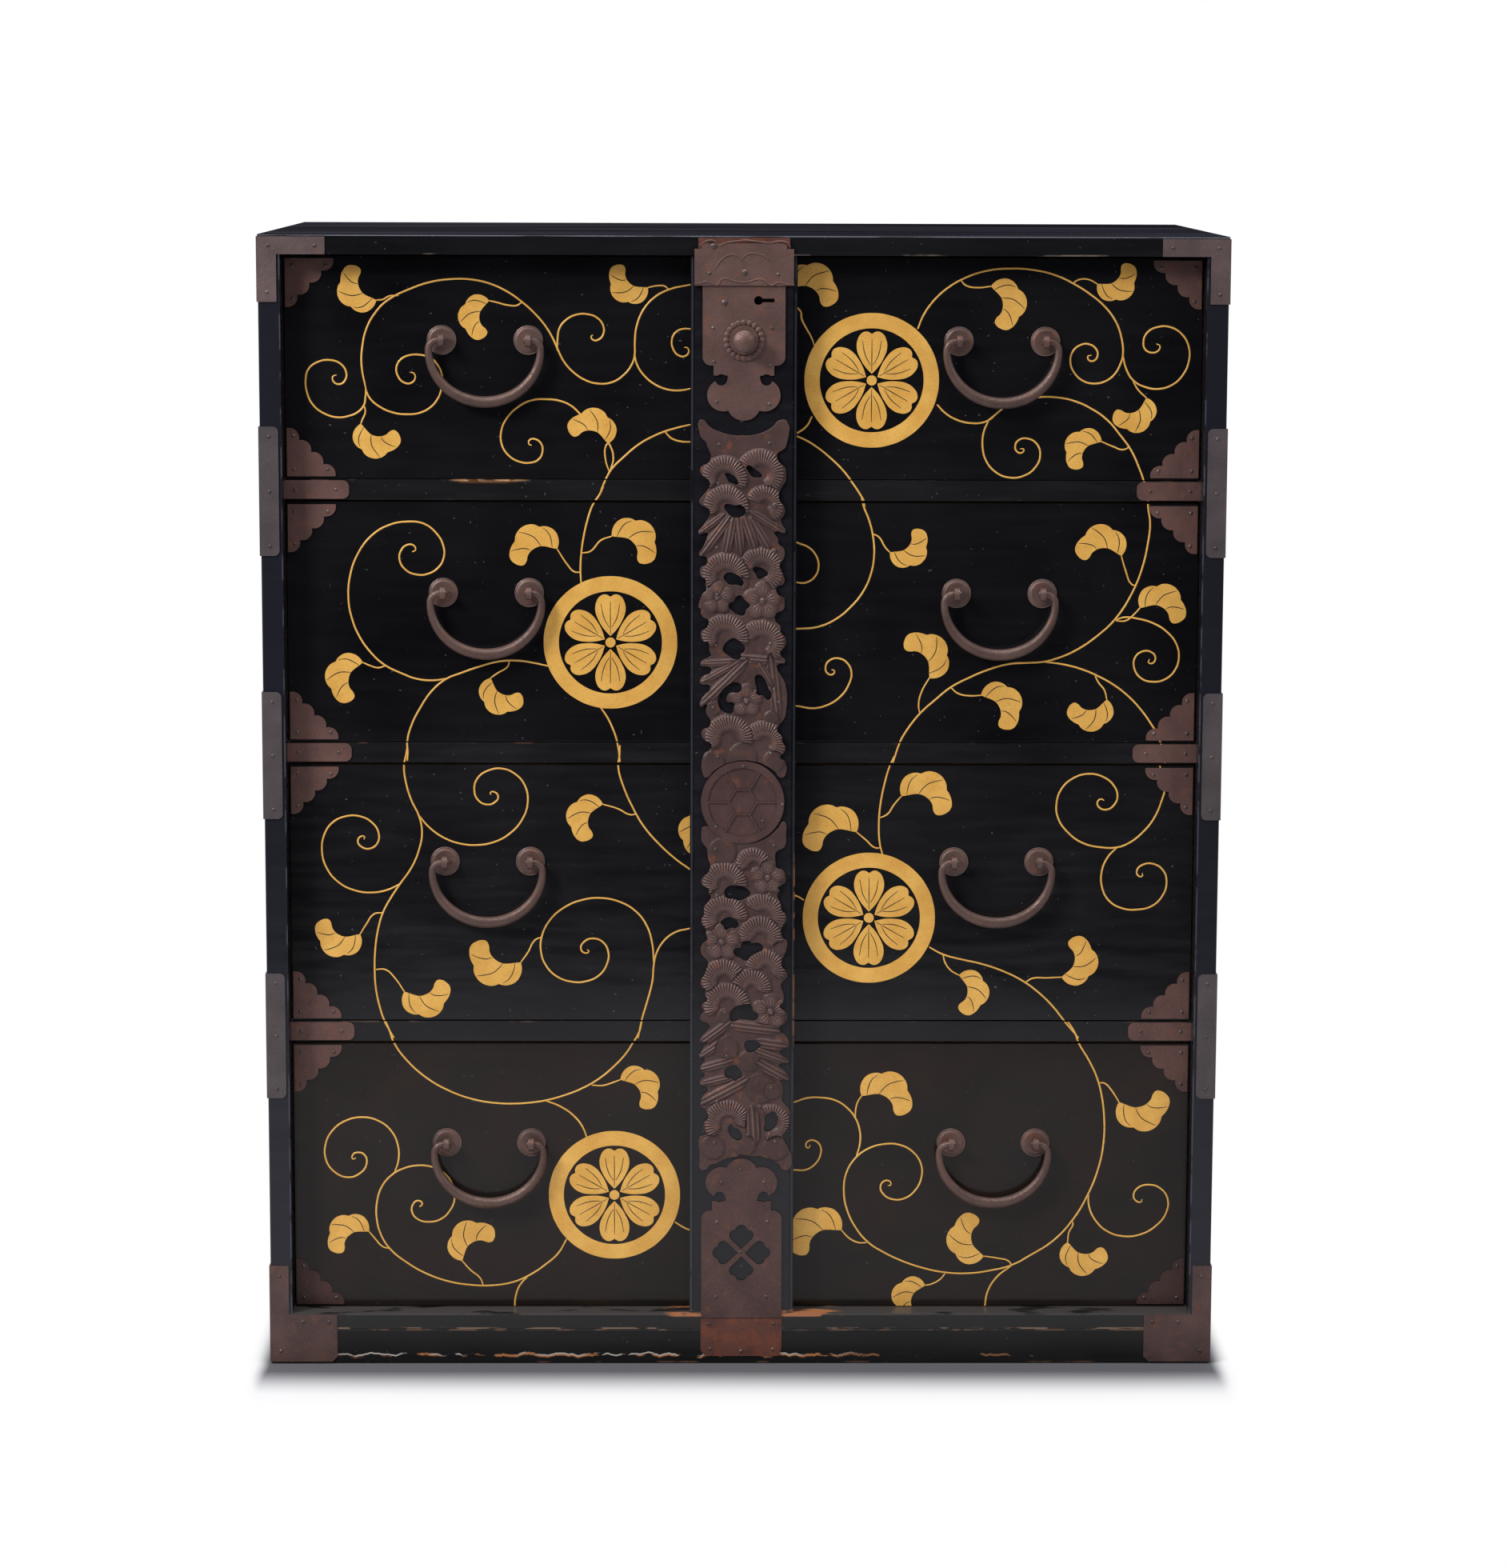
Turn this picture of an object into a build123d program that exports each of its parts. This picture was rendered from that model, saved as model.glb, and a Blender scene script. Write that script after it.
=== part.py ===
# A lacquered clothing chest: one case, four full-width drawers, and a locking bar down the middle.
# Millimetres. +Z is up, the front faces -Y, and the origin is under the middle of the chest.
import math
import os

from build123d import *

os.makedirs("parts", exist_ok=True)


def save(builder, name):
    builder.part.label = name
    export_step(builder.part, "parts/" + name + ".step")


# Case
case_width = 880.0
case_depth = 430.0
side_t = 20.0
top_t = 18.0
bottom_t = 15.0
apron_height = 33.0
apron_t = 18.0
back_t = 9.0
back_rabbet = 8.0
edge_round = 2.0
corner_round = 2.0
finger_count = 9
bay_heights = [205.5, 224.5, 244.0, 256.0]
rail_height = 19.0
rail_depth = 34.0
shelf_t = 9.0
shelf_tongue = 8.0
dado_depth = 6.0
drawer_recess = 22.0
rail_recess = 20.5

# Locking bar
bar_width = 97.0
bar_seat_gap = 0.3
bar_end_gap = 0.4
bead_width = 4.0
bead_drop = 2.5
tenon_width = 40.0
tenon_setback = 6.0
tenon_depth = 8.0
tenon_height = 3.4
tenon_gap = 0.4
iron_t = 1.6
lock_plate_height = 149.0
lock_plate_width = 75.0
shoulder_round_share = 0.8
head_body_rise = 50.0
head_step_rise = 41.0
head_step_half = 27.5
head_neck_half = 14.7
head_lobe_rise = 23.0
head_lobe_offset = 18.7
head_lobe_radius = 14.6
head_tip_radius = 15.4
head_notch_rise = 37.0
head_notch_offset = 20.5
head_notch_radius = 5.2
plate_gap = 2.0
horn_depth = 12.5
horn_band = 24.0
flank_inset = 22.0
flank_band = 14.0
medallion_gap = 0.8
openwork_core_half = 27.0
openwork_lobe_radius = 12.0
spray_rise = 10.0
spray_fall = 3.0
hasp_width = 90.0
hasp_neck_width = 77.0
hasp_height = 38.0
hasp_neck_height = 5.0
hasp_neck_round = 3.0
hasp_over_board = 11.0
medallion_radius = 38.3
medallion_height = 534.0
medallion_rim = 5.0
medallion_relief = 1.0
hexagon_radius = 14.0
hexagon_line = 1.6
hexagon_spoke = 19.0
foot_plate_height = 153.5
foot_overhang = 4.0
petal_count = 4
petal_height = 107.0
petal_tip_gap = 3.2
petal_side = 14.0
petal_reach = 27.0
petal_lobe_radius = 6.0
petal_side_lobe_reach = 17.0
petal_side_lobe_offset = 6.5
petal_side_lobe_radius = 5.0
keyhole_radius = 4.0
keyhole_slot_length = 14.5
keyhole_slot_width = 3.4
keyhole_offset = 13.0
keyhole_drop = 40.0

# Knob
knob_drop = 76.0
knob_radius = 9.6
knob_neck_radius = 6.5
knob_neck_length = 3.0
knob_dome = 4.0
knob_height = 18.0
rose_radius = 18.5
rose_height = 4.0
rose_step_radius = 13.5
rose_groove_radius = 15.5
rose_rim_t = 1.4
rose_step = 0.6
knob_shank_radius = 3.0
knob_shank_length = 11.0
shank_gap = 0.15

# Lock
lock_case_width = 62.0
lock_case_height = 78.0
lock_case_depth = 13.0
lock_case_wall = 1.5
lock_case_drop = 12.0
bolt_width = 16.0
bolt_t = 6.0
bolt_height = 42.0
bolt_gap = 0.3
bolt_throw = 9.0
bolt_end_gap = 0.6
bolt_stop_height = 4.0

# Drawers
drawer_side_gap = 1.5
drawer_top_gap = 2.0
drawer_foot_gap = 0.3
drawer_back_gap = 4.0
front_t = 20.0
wall_t = 11.0
rear_t = 10.0
drawer_bottom_t = 7.0
front_lap = 8.0
rear_drop = 12.0
front_round = 1.2

# Fittings on drawers
corner_leg = 44.0
corner_scallops = 4
scallop_bulge_share = 0.28
corner_inset = 1.0
trim_t = 1.0

# Bails
handle_offset = 236.0
handle_drop_share = 0.38
pivot_spacing = 79.0
bail_half_width = 51.0
bail_drop = 56.0
bail_shoulder = 8.0
bail_end_radius = 3.2
bail_mid_radius = 5.2
eye_radius = 6.0
eye_width = 5.0
eye_reach = 9.5
eye_gap = 0.08
post_side = 3.6
handle_rose_radius = 13.5
handle_rose_t = 2.4
rose_bevel_share = 0.7
rose_bevel_slope = 2.0
post_tail = 3.0
post_bite = 1.2
bail_stub = 1.5
bail_sections = 6

# Fittings on the case
corner_arm = 61.0
edge_strap_width = 17.0
edge_strap_height = 118.0
edge_strap_return = 34.0
strap_notch = 5.0
rail_strap_length = 59.0
rail_strap_inset = 1.0
rail_strap_round = 6.0
foot_corner_height = 94.0
foot_corner_arm = 62.0
foot_corner_round = 5.0
apron_plate_width = 76.0
apron_plate_foot = 7.0
apron_plate_round = 8.0
plate_joint_gap = 0.5
floor_lift = 1.5
striker_width = 83.0
striker_t = 1.3

# What follows is worked out from the sizes above
knob_reach = iron_t + rose_height + knob_height
front_y = (knob_reach - case_depth) / 2
back_y = front_y + case_depth
half_width = case_width / 2
inner_half = half_width - side_t
floor_z = apron_height + bottom_t
bay_count = len(bay_heights)
case_height = floor_z + sum(bay_heights) + (bay_count - 1) * rail_height + top_t
top_under = case_height - top_t
bay_floors = [
    floor_z + sum(bay_heights[i + 1:]) + (bay_count - 1 - i) * rail_height for i in range(bay_count)
]
rail_floors = [bay_floors[i] - rail_height for i in range(bay_count - 1)]
drawer_face_y = front_y + drawer_recess
rail_face_y = front_y + rail_recess
bar_t = rail_recess - bar_seat_gap
bar_top = top_under - bar_end_gap
bar_foot = floor_z + bar_end_gap
finger_pitch = case_depth / finger_count
bolt_y = front_y + bar_t - lock_case_depth / 2
plate_y = front_y - iron_t
knob_z = bar_top - knob_drop
keyhole_z = bar_top - keyhole_drop
lock_plate_foot = bar_top - lock_plate_height
foot_plate_foot = floor_z - foot_overhang
foot_plate_tip = foot_plate_foot + foot_plate_height
drawer_half = inner_half - drawer_side_gap
drawer_rear_y = back_y - back_t - drawer_back_gap
bar_back_y = front_y + bar_t
pocket_top = bar_top - lock_case_drop
pocket_foot = pocket_top - lock_case_height
hasp_foot = top_under + hasp_over_board - hasp_height
upper_high = lock_plate_foot - plate_gap + horn_depth
upper_low = medallion_height + flank_inset
lower_high = medallion_height - flank_inset
lower_low = foot_plate_tip + plate_gap - horn_depth


def span(x_low, x_high, y_low, y_high):
    # A rectangle given by its edges, drawn in the sketch that is open.
    with Locations(((x_low + x_high) / 2, (y_low + y_high) / 2)):
        Rectangle(x_high - x_low, y_high - y_low)


def finger_centres(first):
    return [front_y + (i + 1 / 2) * finger_pitch for i in range(first, finger_count, 2)]


# Side boards: pins rise through the top board, dadoes take the shelves, a rabbet takes the back panel
for hand, name in ((-1, "side_left"), (1, "side_right")):
    outer = hand * half_width
    inner = hand * inner_half
    dado = hand * (inner_half + dado_depth)
    with BuildPart() as side:
        with BuildSketch(Plane.XY):
            span(min(outer, inner), max(outer, inner), front_y, back_y)
        extrude(amount=top_under)
        with BuildSketch(Plane.XY.offset(top_under)):
            for y in finger_centres(1):
                with Locations(((outer + inner) / 2, y)):
                    Rectangle(side_t, finger_pitch)
        extrude(amount=top_t)
        with BuildSketch(Plane.XY):
            span(min(dado, inner), max(dado, inner), back_y - back_t, back_y)
        extrude(amount=top_under, mode=Mode.SUBTRACT)
        for z in rail_floors:
            with BuildSketch(Plane.XY.offset(z)):
                span(min(dado, inner), max(dado, inner), rail_face_y, rail_face_y + rail_depth)
            extrude(amount=rail_height, mode=Mode.SUBTRACT)
            with BuildSketch(Plane.XY.offset(z + rail_height - shelf_t)):
                span(min(dado, inner), max(dado, inner), rail_face_y + rail_depth, back_y - back_t)
            extrude(amount=shelf_t, mode=Mode.SUBTRACT)
        with BuildSketch(Plane.XY.offset(apron_height)):
            span(min(dado, inner), max(dado, inner), front_y, back_y - back_t)
        extrude(amount=bottom_t, mode=Mode.SUBTRACT)
        fillet(side.edges().filter_by(Axis.Z).group_by(Axis.Y)[0].sort_by(Axis.X)[0 if hand < 0 else -1],
               corner_round)
    save(side, name)

# Top board: notched at both ends for the pins of the sides, mortised below for the lock bolt
with BuildPart() as top_board:
    with BuildSketch(Plane.XY.offset(top_under)):
        span(-half_width, half_width, front_y, back_y)
        for y in finger_centres(1):
            for x in (-1, 1):
                with Locations((x * (inner_half + side_t / 2), y)):
                    Rectangle(side_t, finger_pitch, mode=Mode.SUBTRACT)
    extrude(amount=top_t)
    with BuildSketch(Plane.XY.offset(top_under)):
        with Locations((0, bolt_y)):
            Rectangle(bolt_width + 2 * bolt_end_gap, bolt_t + 2 * bolt_end_gap)
    extrude(amount=bolt_throw + 2 * bolt_end_gap, mode=Mode.SUBTRACT)
    fillet(top_board.edges().filter_by(Axis.X).group_by(Axis.Z)[-1].sort_by(Axis.Y)[0], edge_round)
save(top_board, "top_board")

# Bottom board: its front edge is the ledge that the bar stands on, with an open notch for the bar's tenon
with BuildPart() as bottom_board:
    with BuildSketch(Plane.XY.offset(apron_height)):
        span(-inner_half - dado_depth, inner_half + dado_depth, front_y, back_y - back_t)
    extrude(amount=bottom_t)
    with BuildSketch(Plane.XY.offset(floor_z)):
        span(-tenon_width / 2 - tenon_gap, tenon_width / 2 + tenon_gap, front_y,
             front_y + tenon_setback + tenon_depth + tenon_gap)
    extrude(amount=-tenon_height, mode=Mode.SUBTRACT)
save(bottom_board, "bottom_board")

with BuildPart() as front_apron:
    with BuildSketch(Plane.XY):
        span(-inner_half, inner_half, front_y, front_y + apron_t)
    extrude(amount=apron_height)
    chamfer(front_apron.edges().filter_by(Axis.X).group_by(Axis.Y)[0], edge_round / 2)
save(front_apron, "front_apron")

with BuildPart() as back_panel:
    with BuildSketch(Plane.XY):
        span(-inner_half - dado_depth, inner_half + dado_depth, back_y - back_t, back_y)
    extrude(amount=top_under)
save(back_panel, "back_panel")

# Rails between the drawers, each with a groove behind for the tongue of its dust board
for i, z in enumerate(rail_floors, start=1):
    with BuildPart() as rail:
        with BuildSketch(Plane.XY.offset(z)):
            span(-inner_half - dado_depth, inner_half + dado_depth, rail_face_y, rail_face_y + rail_depth)
        extrude(amount=rail_height)
        with BuildSketch(Plane.XY.offset(z + rail_height - shelf_t)):
            span(-inner_half - dado_depth, inner_half + dado_depth,
                 rail_face_y + rail_depth - shelf_tongue, rail_face_y + rail_depth)
        extrude(amount=shelf_t, mode=Mode.SUBTRACT)
    save(rail, f"rail_{i}")
    with BuildPart() as shelf:
        with BuildSketch(Plane.XY.offset(z + rail_height - shelf_t)):
            span(-inner_half - dado_depth, inner_half + dado_depth,
                 rail_face_y + rail_depth - shelf_tongue, back_y - back_t)
        extrude(amount=shelf_t)
    save(shelf, f"dust_board_{i}")


def front_plane(y):
    # Seen from the front: local x is +X, local y is +Z, and an extrusion comes towards the viewer.
    return Plane(origin=(0, y, 0), x_dir=(1, 0, 0), z_dir=(0, -1, 0))


# Locking bar: a board with a rebate along each edge, a pocket behind for the lock and a short tenon below
with BuildPart() as bar_board:
    with BuildSketch(Plane.XY.offset(bar_foot)):
        span(-bar_width / 2, bar_width / 2, front_y, bar_back_y)
        for x in (-1, 1):
            with Locations((x * (bar_width - bead_width) / 2, front_y + bead_drop / 2)):
                Rectangle(bead_width, bead_drop, mode=Mode.SUBTRACT)
    extrude(amount=bar_top - bar_foot)
    with BuildSketch(Plane.XY.offset(bar_foot)):
        span(-tenon_width / 2, tenon_width / 2, front_y + tenon_setback,
             front_y + tenon_setback + tenon_depth)
    extrude(amount=-tenon_height)
    with BuildSketch(Plane.XY.offset(pocket_foot)):
        span(-lock_case_width / 2, lock_case_width / 2, bar_back_y - lock_case_depth, bar_back_y)
    extrude(amount=lock_case_height, mode=Mode.SUBTRACT)
    with BuildSketch(Plane.XY.offset(pocket_top)):
        with Locations((0, bolt_y)):
            Rectangle(bolt_width + 2 * bolt_gap, bolt_t + 2 * bolt_gap)
    extrude(amount=lock_case_drop, mode=Mode.SUBTRACT)
    with BuildSketch(front_plane(front_y)):
        with Locations((0, knob_z)):
            Circle(knob_shank_radius + shank_gap)
        with Locations((keyhole_offset, keyhole_z)):
            Circle(keyhole_radius)
            with Locations((keyhole_slot_length / 2, 0)):
                Rectangle(keyhole_slot_length, keyhole_slot_width)
    extrude(amount=-(bar_t - lock_case_depth), mode=Mode.SUBTRACT)
save(bar_board, "bar_board")


def cloud_plate(tip_z, square_z):
    # A plate with one square end and one cloud-headed end: body, stepped shoulder, neck, two lobes and a tip.
    up = 1 if square_z > tip_z else -1
    half = lock_plate_width / 2
    body_z = tip_z + up * head_body_rise
    step_z = tip_z + up * head_step_rise
    lobe_z = tip_z + up * head_lobe_rise
    notch_z = tip_z + up * head_notch_rise
    span(-half, half, min(body_z, square_z), max(body_z, square_z))
    span(-head_step_half, head_step_half, min(step_z, square_z), max(step_z, square_z))
    span(-head_neck_half, head_neck_half, min(lobe_z, step_z), max(lobe_z, step_z))
    with Locations((-head_lobe_offset, lobe_z), (head_lobe_offset, lobe_z)):
        Circle(head_lobe_radius)
    with Locations((0, tip_z + up * head_tip_radius)):
        Circle(head_tip_radius)
    with Locations((-head_notch_offset, notch_z), (head_notch_offset, notch_z)):
        Circle(head_notch_radius, mode=Mode.SUBTRACT)


def round_shoulders(plate, body_z):
    # Rounds the plate's two outer corners beside the head.
    corners = plate.edges().filter_by(Axis.Y).filter_by(
        lambda e: abs(e.center().X) > head_step_half + shank_gap and abs(e.center().Z - body_z) < shank_gap
    )
    fillet(corners, (lock_plate_width / 2 - head_step_half) * shoulder_round_share)


with BuildPart() as lock_plate:
    with BuildSketch(front_plane(front_y)):
        cloud_plate(lock_plate_foot, bar_top)
        with Locations((0, knob_z)):
            Circle(knob_shank_radius + shank_gap, mode=Mode.SUBTRACT)
        with Locations((keyhole_offset, keyhole_z)):
            Circle(keyhole_radius, mode=Mode.SUBTRACT)
            with Locations((keyhole_slot_length / 2, 0)):
                Rectangle(keyhole_slot_length, keyhole_slot_width, mode=Mode.SUBTRACT)
    extrude(amount=iron_t)
    round_shoulders(lock_plate, lock_plate_foot + head_body_rise)
save(lock_plate, "lock_plate")

# Foot plate of the bar: the same head the other way up, pierced by four petals
with BuildPart() as bar_foot_plate:
    with BuildSketch(front_plane(front_y)):
        cloud_plate(foot_plate_tip, foot_plate_foot)
        for turn in range(petal_count):
            with Locations(Location((0, petal_height, 0), (0, 0, turn * 360 / petal_count))):
                with Locations((petal_tip_gap + petal_side / math.sqrt(2), 0)):
                    Rectangle(petal_side, petal_side, rotation=45, mode=Mode.SUBTRACT)
                with Locations((petal_reach - petal_lobe_radius, 0)):
                    Circle(petal_lobe_radius, mode=Mode.SUBTRACT)
                for side_sign in (-1, 1):
                    with Locations((petal_side_lobe_reach, side_sign * petal_side_lobe_offset)):
                        Circle(petal_side_lobe_radius, mode=Mode.SUBTRACT)
    extrude(amount=iron_t)
    round_shoulders(bar_foot_plate, foot_plate_tip - head_body_rise)
save(bar_foot_plate, "bar_foot_plate")

# Hasp plate: lies over the lock plate and, above the bar, over the front edge of the top board
with BuildPart() as hasp_plate:
    with BuildSketch(front_plane(plate_y)):
        span(-hasp_width / 2, hasp_width / 2, hasp_foot, hasp_foot + hasp_height - hasp_neck_height)
        span(-hasp_neck_width / 2, hasp_neck_width / 2, hasp_foot, hasp_foot + hasp_height)
    extrude(amount=iron_t)
    fillet(hasp_plate.edges().filter_by(Axis.Y).group_by(Axis.Z)[-1], hasp_neck_round)
save(hasp_plate, "hasp_plate")

# Openwork: pine clouds in pierced sheet. Places are shares of the plate's height, counted from its upper
# end, and of half its width; a lobe bulges from the edge and a spray is a pointed tuft of needles.
upper_left_lobe_shares = [0.12, 0.17, 0.24, 0.43, 0.51, 0.60, 0.88, 0.95]
upper_right_lobe_shares = [0.12, 0.16, 0.22, 0.27, 0.38, 0.45, 0.52, 0.58, 0.62, 0.74, 0.80, 0.88, 0.95]
upper_left_spray_shares = [0.32, 0.38, 0.68, 0.73, 0.80]
upper_right_spray_shares = [0.32, 0.68]
lower_left_lobe_shares = [0.05, 0.15, 0.27, 0.37, 0.45, 0.52, 0.71, 0.76, 0.88]
lower_right_lobe_shares = [0.05, 0.15, 0.25, 0.29, 0.35, 0.43, 0.50, 0.56, 0.63, 0.84, 0.89]
lower_left_spray_shares = [0.57, 0.62, 0.67, 0.82]
lower_right_spray_shares = [0.69, 0.75]
# Each hole: place across, place down, half length, half breadth, as shares, and its turn in degrees
upper_hole_shares = [
    (-0.31, 0.185, 0.15, 0.12, 60), (0.25, 0.165, 0.19, 0.11, -25), (-0.20, 0.265, 0.25, 0.14, -15),
    (-0.26, 0.45, 0.24, 0.13, -15), (0.40, 0.436, 0.16, 0.13, -30), (-0.12, 0.53, 0.23, 0.18, 0),
    (-0.26, 0.642, 0.25, 0.23, 0), (-0.36, 0.78, 0.34, 0.22, 75), (0.46, 0.756, 0.32, 0.16, 110),
]
lower_hole_shares = [
    (-0.19, 0.194, 0.31, 0.16, 0), (-0.38, 0.282, 0.21, 0.14, 10), (0.16, 0.363, 0.34, 0.20, 15),
    (0.04, 0.545, 0.32, 0.20, -5), (0.25, 0.641, 0.20, 0.13, 0), (-0.22, 0.72, 0.21, 0.18, 0),
    (-0.20, 0.894, 0.16, 0.15, -20), (0.66, 0.862, 0.25, 0.14, 75),
]


def openwork(low_z, high_z, lobes, sprays, holes):
    height = high_z - low_z
    half = lock_plate_width / 2
    span(-openwork_core_half, openwork_core_half, low_z, high_z)
    for hand, places in zip((-1, 1), lobes):
        for place in places:
            with Locations((hand * (half - openwork_lobe_radius), high_z - place * height)):
                Circle(openwork_lobe_radius)
    for hand, places in zip((-1, 1), sprays):
        for place in places:
            z = high_z - place * height
            Polygon((0, z + spray_rise), (hand * half, z), (hand * openwork_core_half, z - spray_fall),
                    (0, z - spray_rise), align=None)
    for across, down, length, breadth, turn in holes:
        with Locations((across * half, high_z - down * height)):
            SlotOverall(2 * length * half, 2 * breadth * half, rotation=turn, mode=Mode.SUBTRACT)


def horned_end(end_z, into):
    # The end next to a cloud head: full width, hollowed by an arc whose depth is the horns' height.
    half = lock_plate_width / 2
    radius = (half ** 2 + horn_depth ** 2) / (2 * horn_depth)
    span(-half, half, min(end_z, end_z + into * horn_band), max(end_z, end_z + into * horn_band))
    with Locations((0, end_z + into * (horn_depth - radius))):
        Circle(radius, mode=Mode.SUBTRACT)


def medallion_end(end_z, into):
    half = lock_plate_width / 2
    span(-half, half, min(end_z, end_z + into * flank_band), max(end_z, end_z + into * flank_band))
    with Locations((0, medallion_height)):
        Circle(medallion_radius + medallion_gap, mode=Mode.SUBTRACT)


with BuildPart() as openwork_upper:
    with BuildSketch(front_plane(front_y)):
        openwork(upper_low, upper_high, (upper_left_lobe_shares, upper_right_lobe_shares),
                 (upper_left_spray_shares, upper_right_spray_shares), upper_hole_shares)
        horned_end(upper_high, -1)
        medallion_end(upper_low, 1)
    extrude(amount=iron_t)
save(openwork_upper, "openwork_upper")

with BuildPart() as openwork_lower:
    with BuildSketch(front_plane(front_y)):
        openwork(lower_low, lower_high, (lower_left_lobe_shares, lower_right_lobe_shares),
                 (lower_left_spray_shares, lower_right_spray_shares), lower_hole_shares)
        medallion_end(lower_high, -1)
        horned_end(lower_low, 1)
    extrude(amount=iron_t)
save(openwork_lower, "openwork_lower")

# Medallion: a disc with a raised rim and a raised lattice of hexagons
with BuildPart() as bar_medallion:
    with BuildSketch(front_plane(front_y)):
        with Locations((0, medallion_height)):
            Circle(medallion_radius)
    extrude(amount=iron_t)
    with BuildSketch(front_plane(plate_y)):
        with Locations((0, medallion_height)):
            Circle(medallion_radius - medallion_rim)
            Circle(medallion_radius - medallion_rim - hexagon_line, mode=Mode.SUBTRACT)
            with Locations((0, 0)):
                RegularPolygon(hexagon_radius, 6)
                RegularPolygon(hexagon_radius - hexagon_line, 6, mode=Mode.SUBTRACT)
            with PolarLocations(hexagon_radius - hexagon_line / 2, 6):
                with Locations((hexagon_spoke / 2, 0)):
                    Rectangle(hexagon_spoke, hexagon_line)
    extrude(amount=medallion_relief)
    with BuildSketch(front_plane(plate_y)):
        with Locations((0, medallion_height)):
            Circle(medallion_radius)
            Circle(medallion_radius - medallion_rim, mode=Mode.SUBTRACT)
    extrude(amount=medallion_relief)
save(bar_medallion, "bar_medallion")

# Knob and its stepped rose, both turned about one axis that runs through the bar
knob_profile = Plane(origin=(0, plate_y, knob_z), x_dir=(1, 0, 0), z_dir=(0, 0, 1))
knob_axis = Axis((0, plate_y, knob_z), (0, 1, 0))
head_y = -rose_height - knob_height
with BuildPart() as knob:
    with BuildSketch(knob_profile):
        with BuildLine():
            Polyline((0, head_y), (0, knob_shank_length), (knob_shank_radius, knob_shank_length),
                     (knob_shank_radius, -rose_height), (knob_neck_radius, -rose_height),
                     (knob_neck_radius, -rose_height - knob_neck_length),
                     (knob_radius, -rose_height - 2 * knob_neck_length), (knob_radius, head_y + knob_dome))
            TangentArc((0, head_y), (knob_radius, head_y + knob_dome), tangent=(1, 0))
        make_face()
    revolve(axis=knob_axis)
save(knob, "knob")

with BuildPart() as knob_rose:
    with BuildSketch(knob_profile):
        with BuildLine():
            Polyline((knob_shank_radius + shank_gap, 0), (rose_radius, 0), (rose_radius, -rose_rim_t),
                     (rose_groove_radius, -rose_rim_t - rose_step), (rose_groove_radius, -rose_rim_t),
                     (rose_step_radius, -rose_rim_t), (rose_step_radius - rose_step, -rose_height),
                     (knob_shank_radius + shank_gap, -rose_height), close=True)
        make_face()
    revolve(axis=knob_axis)
save(knob_rose, "knob_rose")

# Lock: an open tray let into the back of the bar, with a slot above for the bolt and a stop below it
bolt_top = bar_top - bolt_gap
bolt_foot = bolt_top - bolt_height
with BuildPart() as lock_case:
    with BuildSketch(front_plane(bar_back_y)):
        span(-lock_case_width / 2, lock_case_width / 2, pocket_foot, pocket_top)
    extrude(amount=lock_case_depth)
    with BuildSketch(front_plane(bar_back_y - lock_case_wall)):
        span(-lock_case_width / 2 + lock_case_wall, lock_case_width / 2 - lock_case_wall,
             pocket_foot + lock_case_wall, pocket_top - lock_case_wall)
    extrude(amount=lock_case_depth - lock_case_wall, mode=Mode.SUBTRACT)
    with BuildSketch(Plane.XY.offset(pocket_top)):
        with Locations((0, bolt_y)):
            Rectangle(bolt_width + 2 * bolt_gap, bolt_t + 2 * bolt_gap)
    extrude(amount=-lock_case_wall, mode=Mode.SUBTRACT)
    with BuildSketch(front_plane(bar_back_y - lock_case_wall)):
        span(-bolt_width / 2, bolt_width / 2, bolt_foot - bolt_gap - bolt_stop_height, bolt_foot - bolt_gap)
    extrude(amount=lock_case_depth - lock_case_wall - bolt_gap)
save(lock_case, "lock_case")

with BuildPart() as lock_bolt:
    with BuildSketch(Plane.XY.offset(bolt_foot)):
        with Locations((0, bolt_y)):
            Rectangle(bolt_width, bolt_t)
    extrude(amount=bolt_height)
    chamfer(lock_bolt.edges().group_by(Axis.Z)[-1].filter_by(Axis.X), bolt_t / 5)
save(lock_bolt, "lock_bolt")


def scalloped_corner(x, z, to_x, to_z):
    # A right-angled plate with its corner at (x, z); to_x and to_z are the ways its legs run.
    steps = [k / corner_scallops for k in range(corner_scallops + 1)]
    ends = [(x + to_x * corner_leg * (1 - t), z + to_z * corner_leg * t) for t in steps]
    bulge = corner_leg / corner_scallops * scallop_bulge_share
    with BuildLine() as outline:
        Line((x, z), ends[0])
        for (x0, z0), (x1, z1) in zip(ends, ends[1:]):
            middle = ((x0 + x1) / 2 + to_x * bulge, (z0 + z1) / 2 + to_z * bulge)
            ThreePointArc((x0, z0), middle, (x1, z1))
        Line(ends[-1], (x, z))
    make_face(outline.line)


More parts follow.
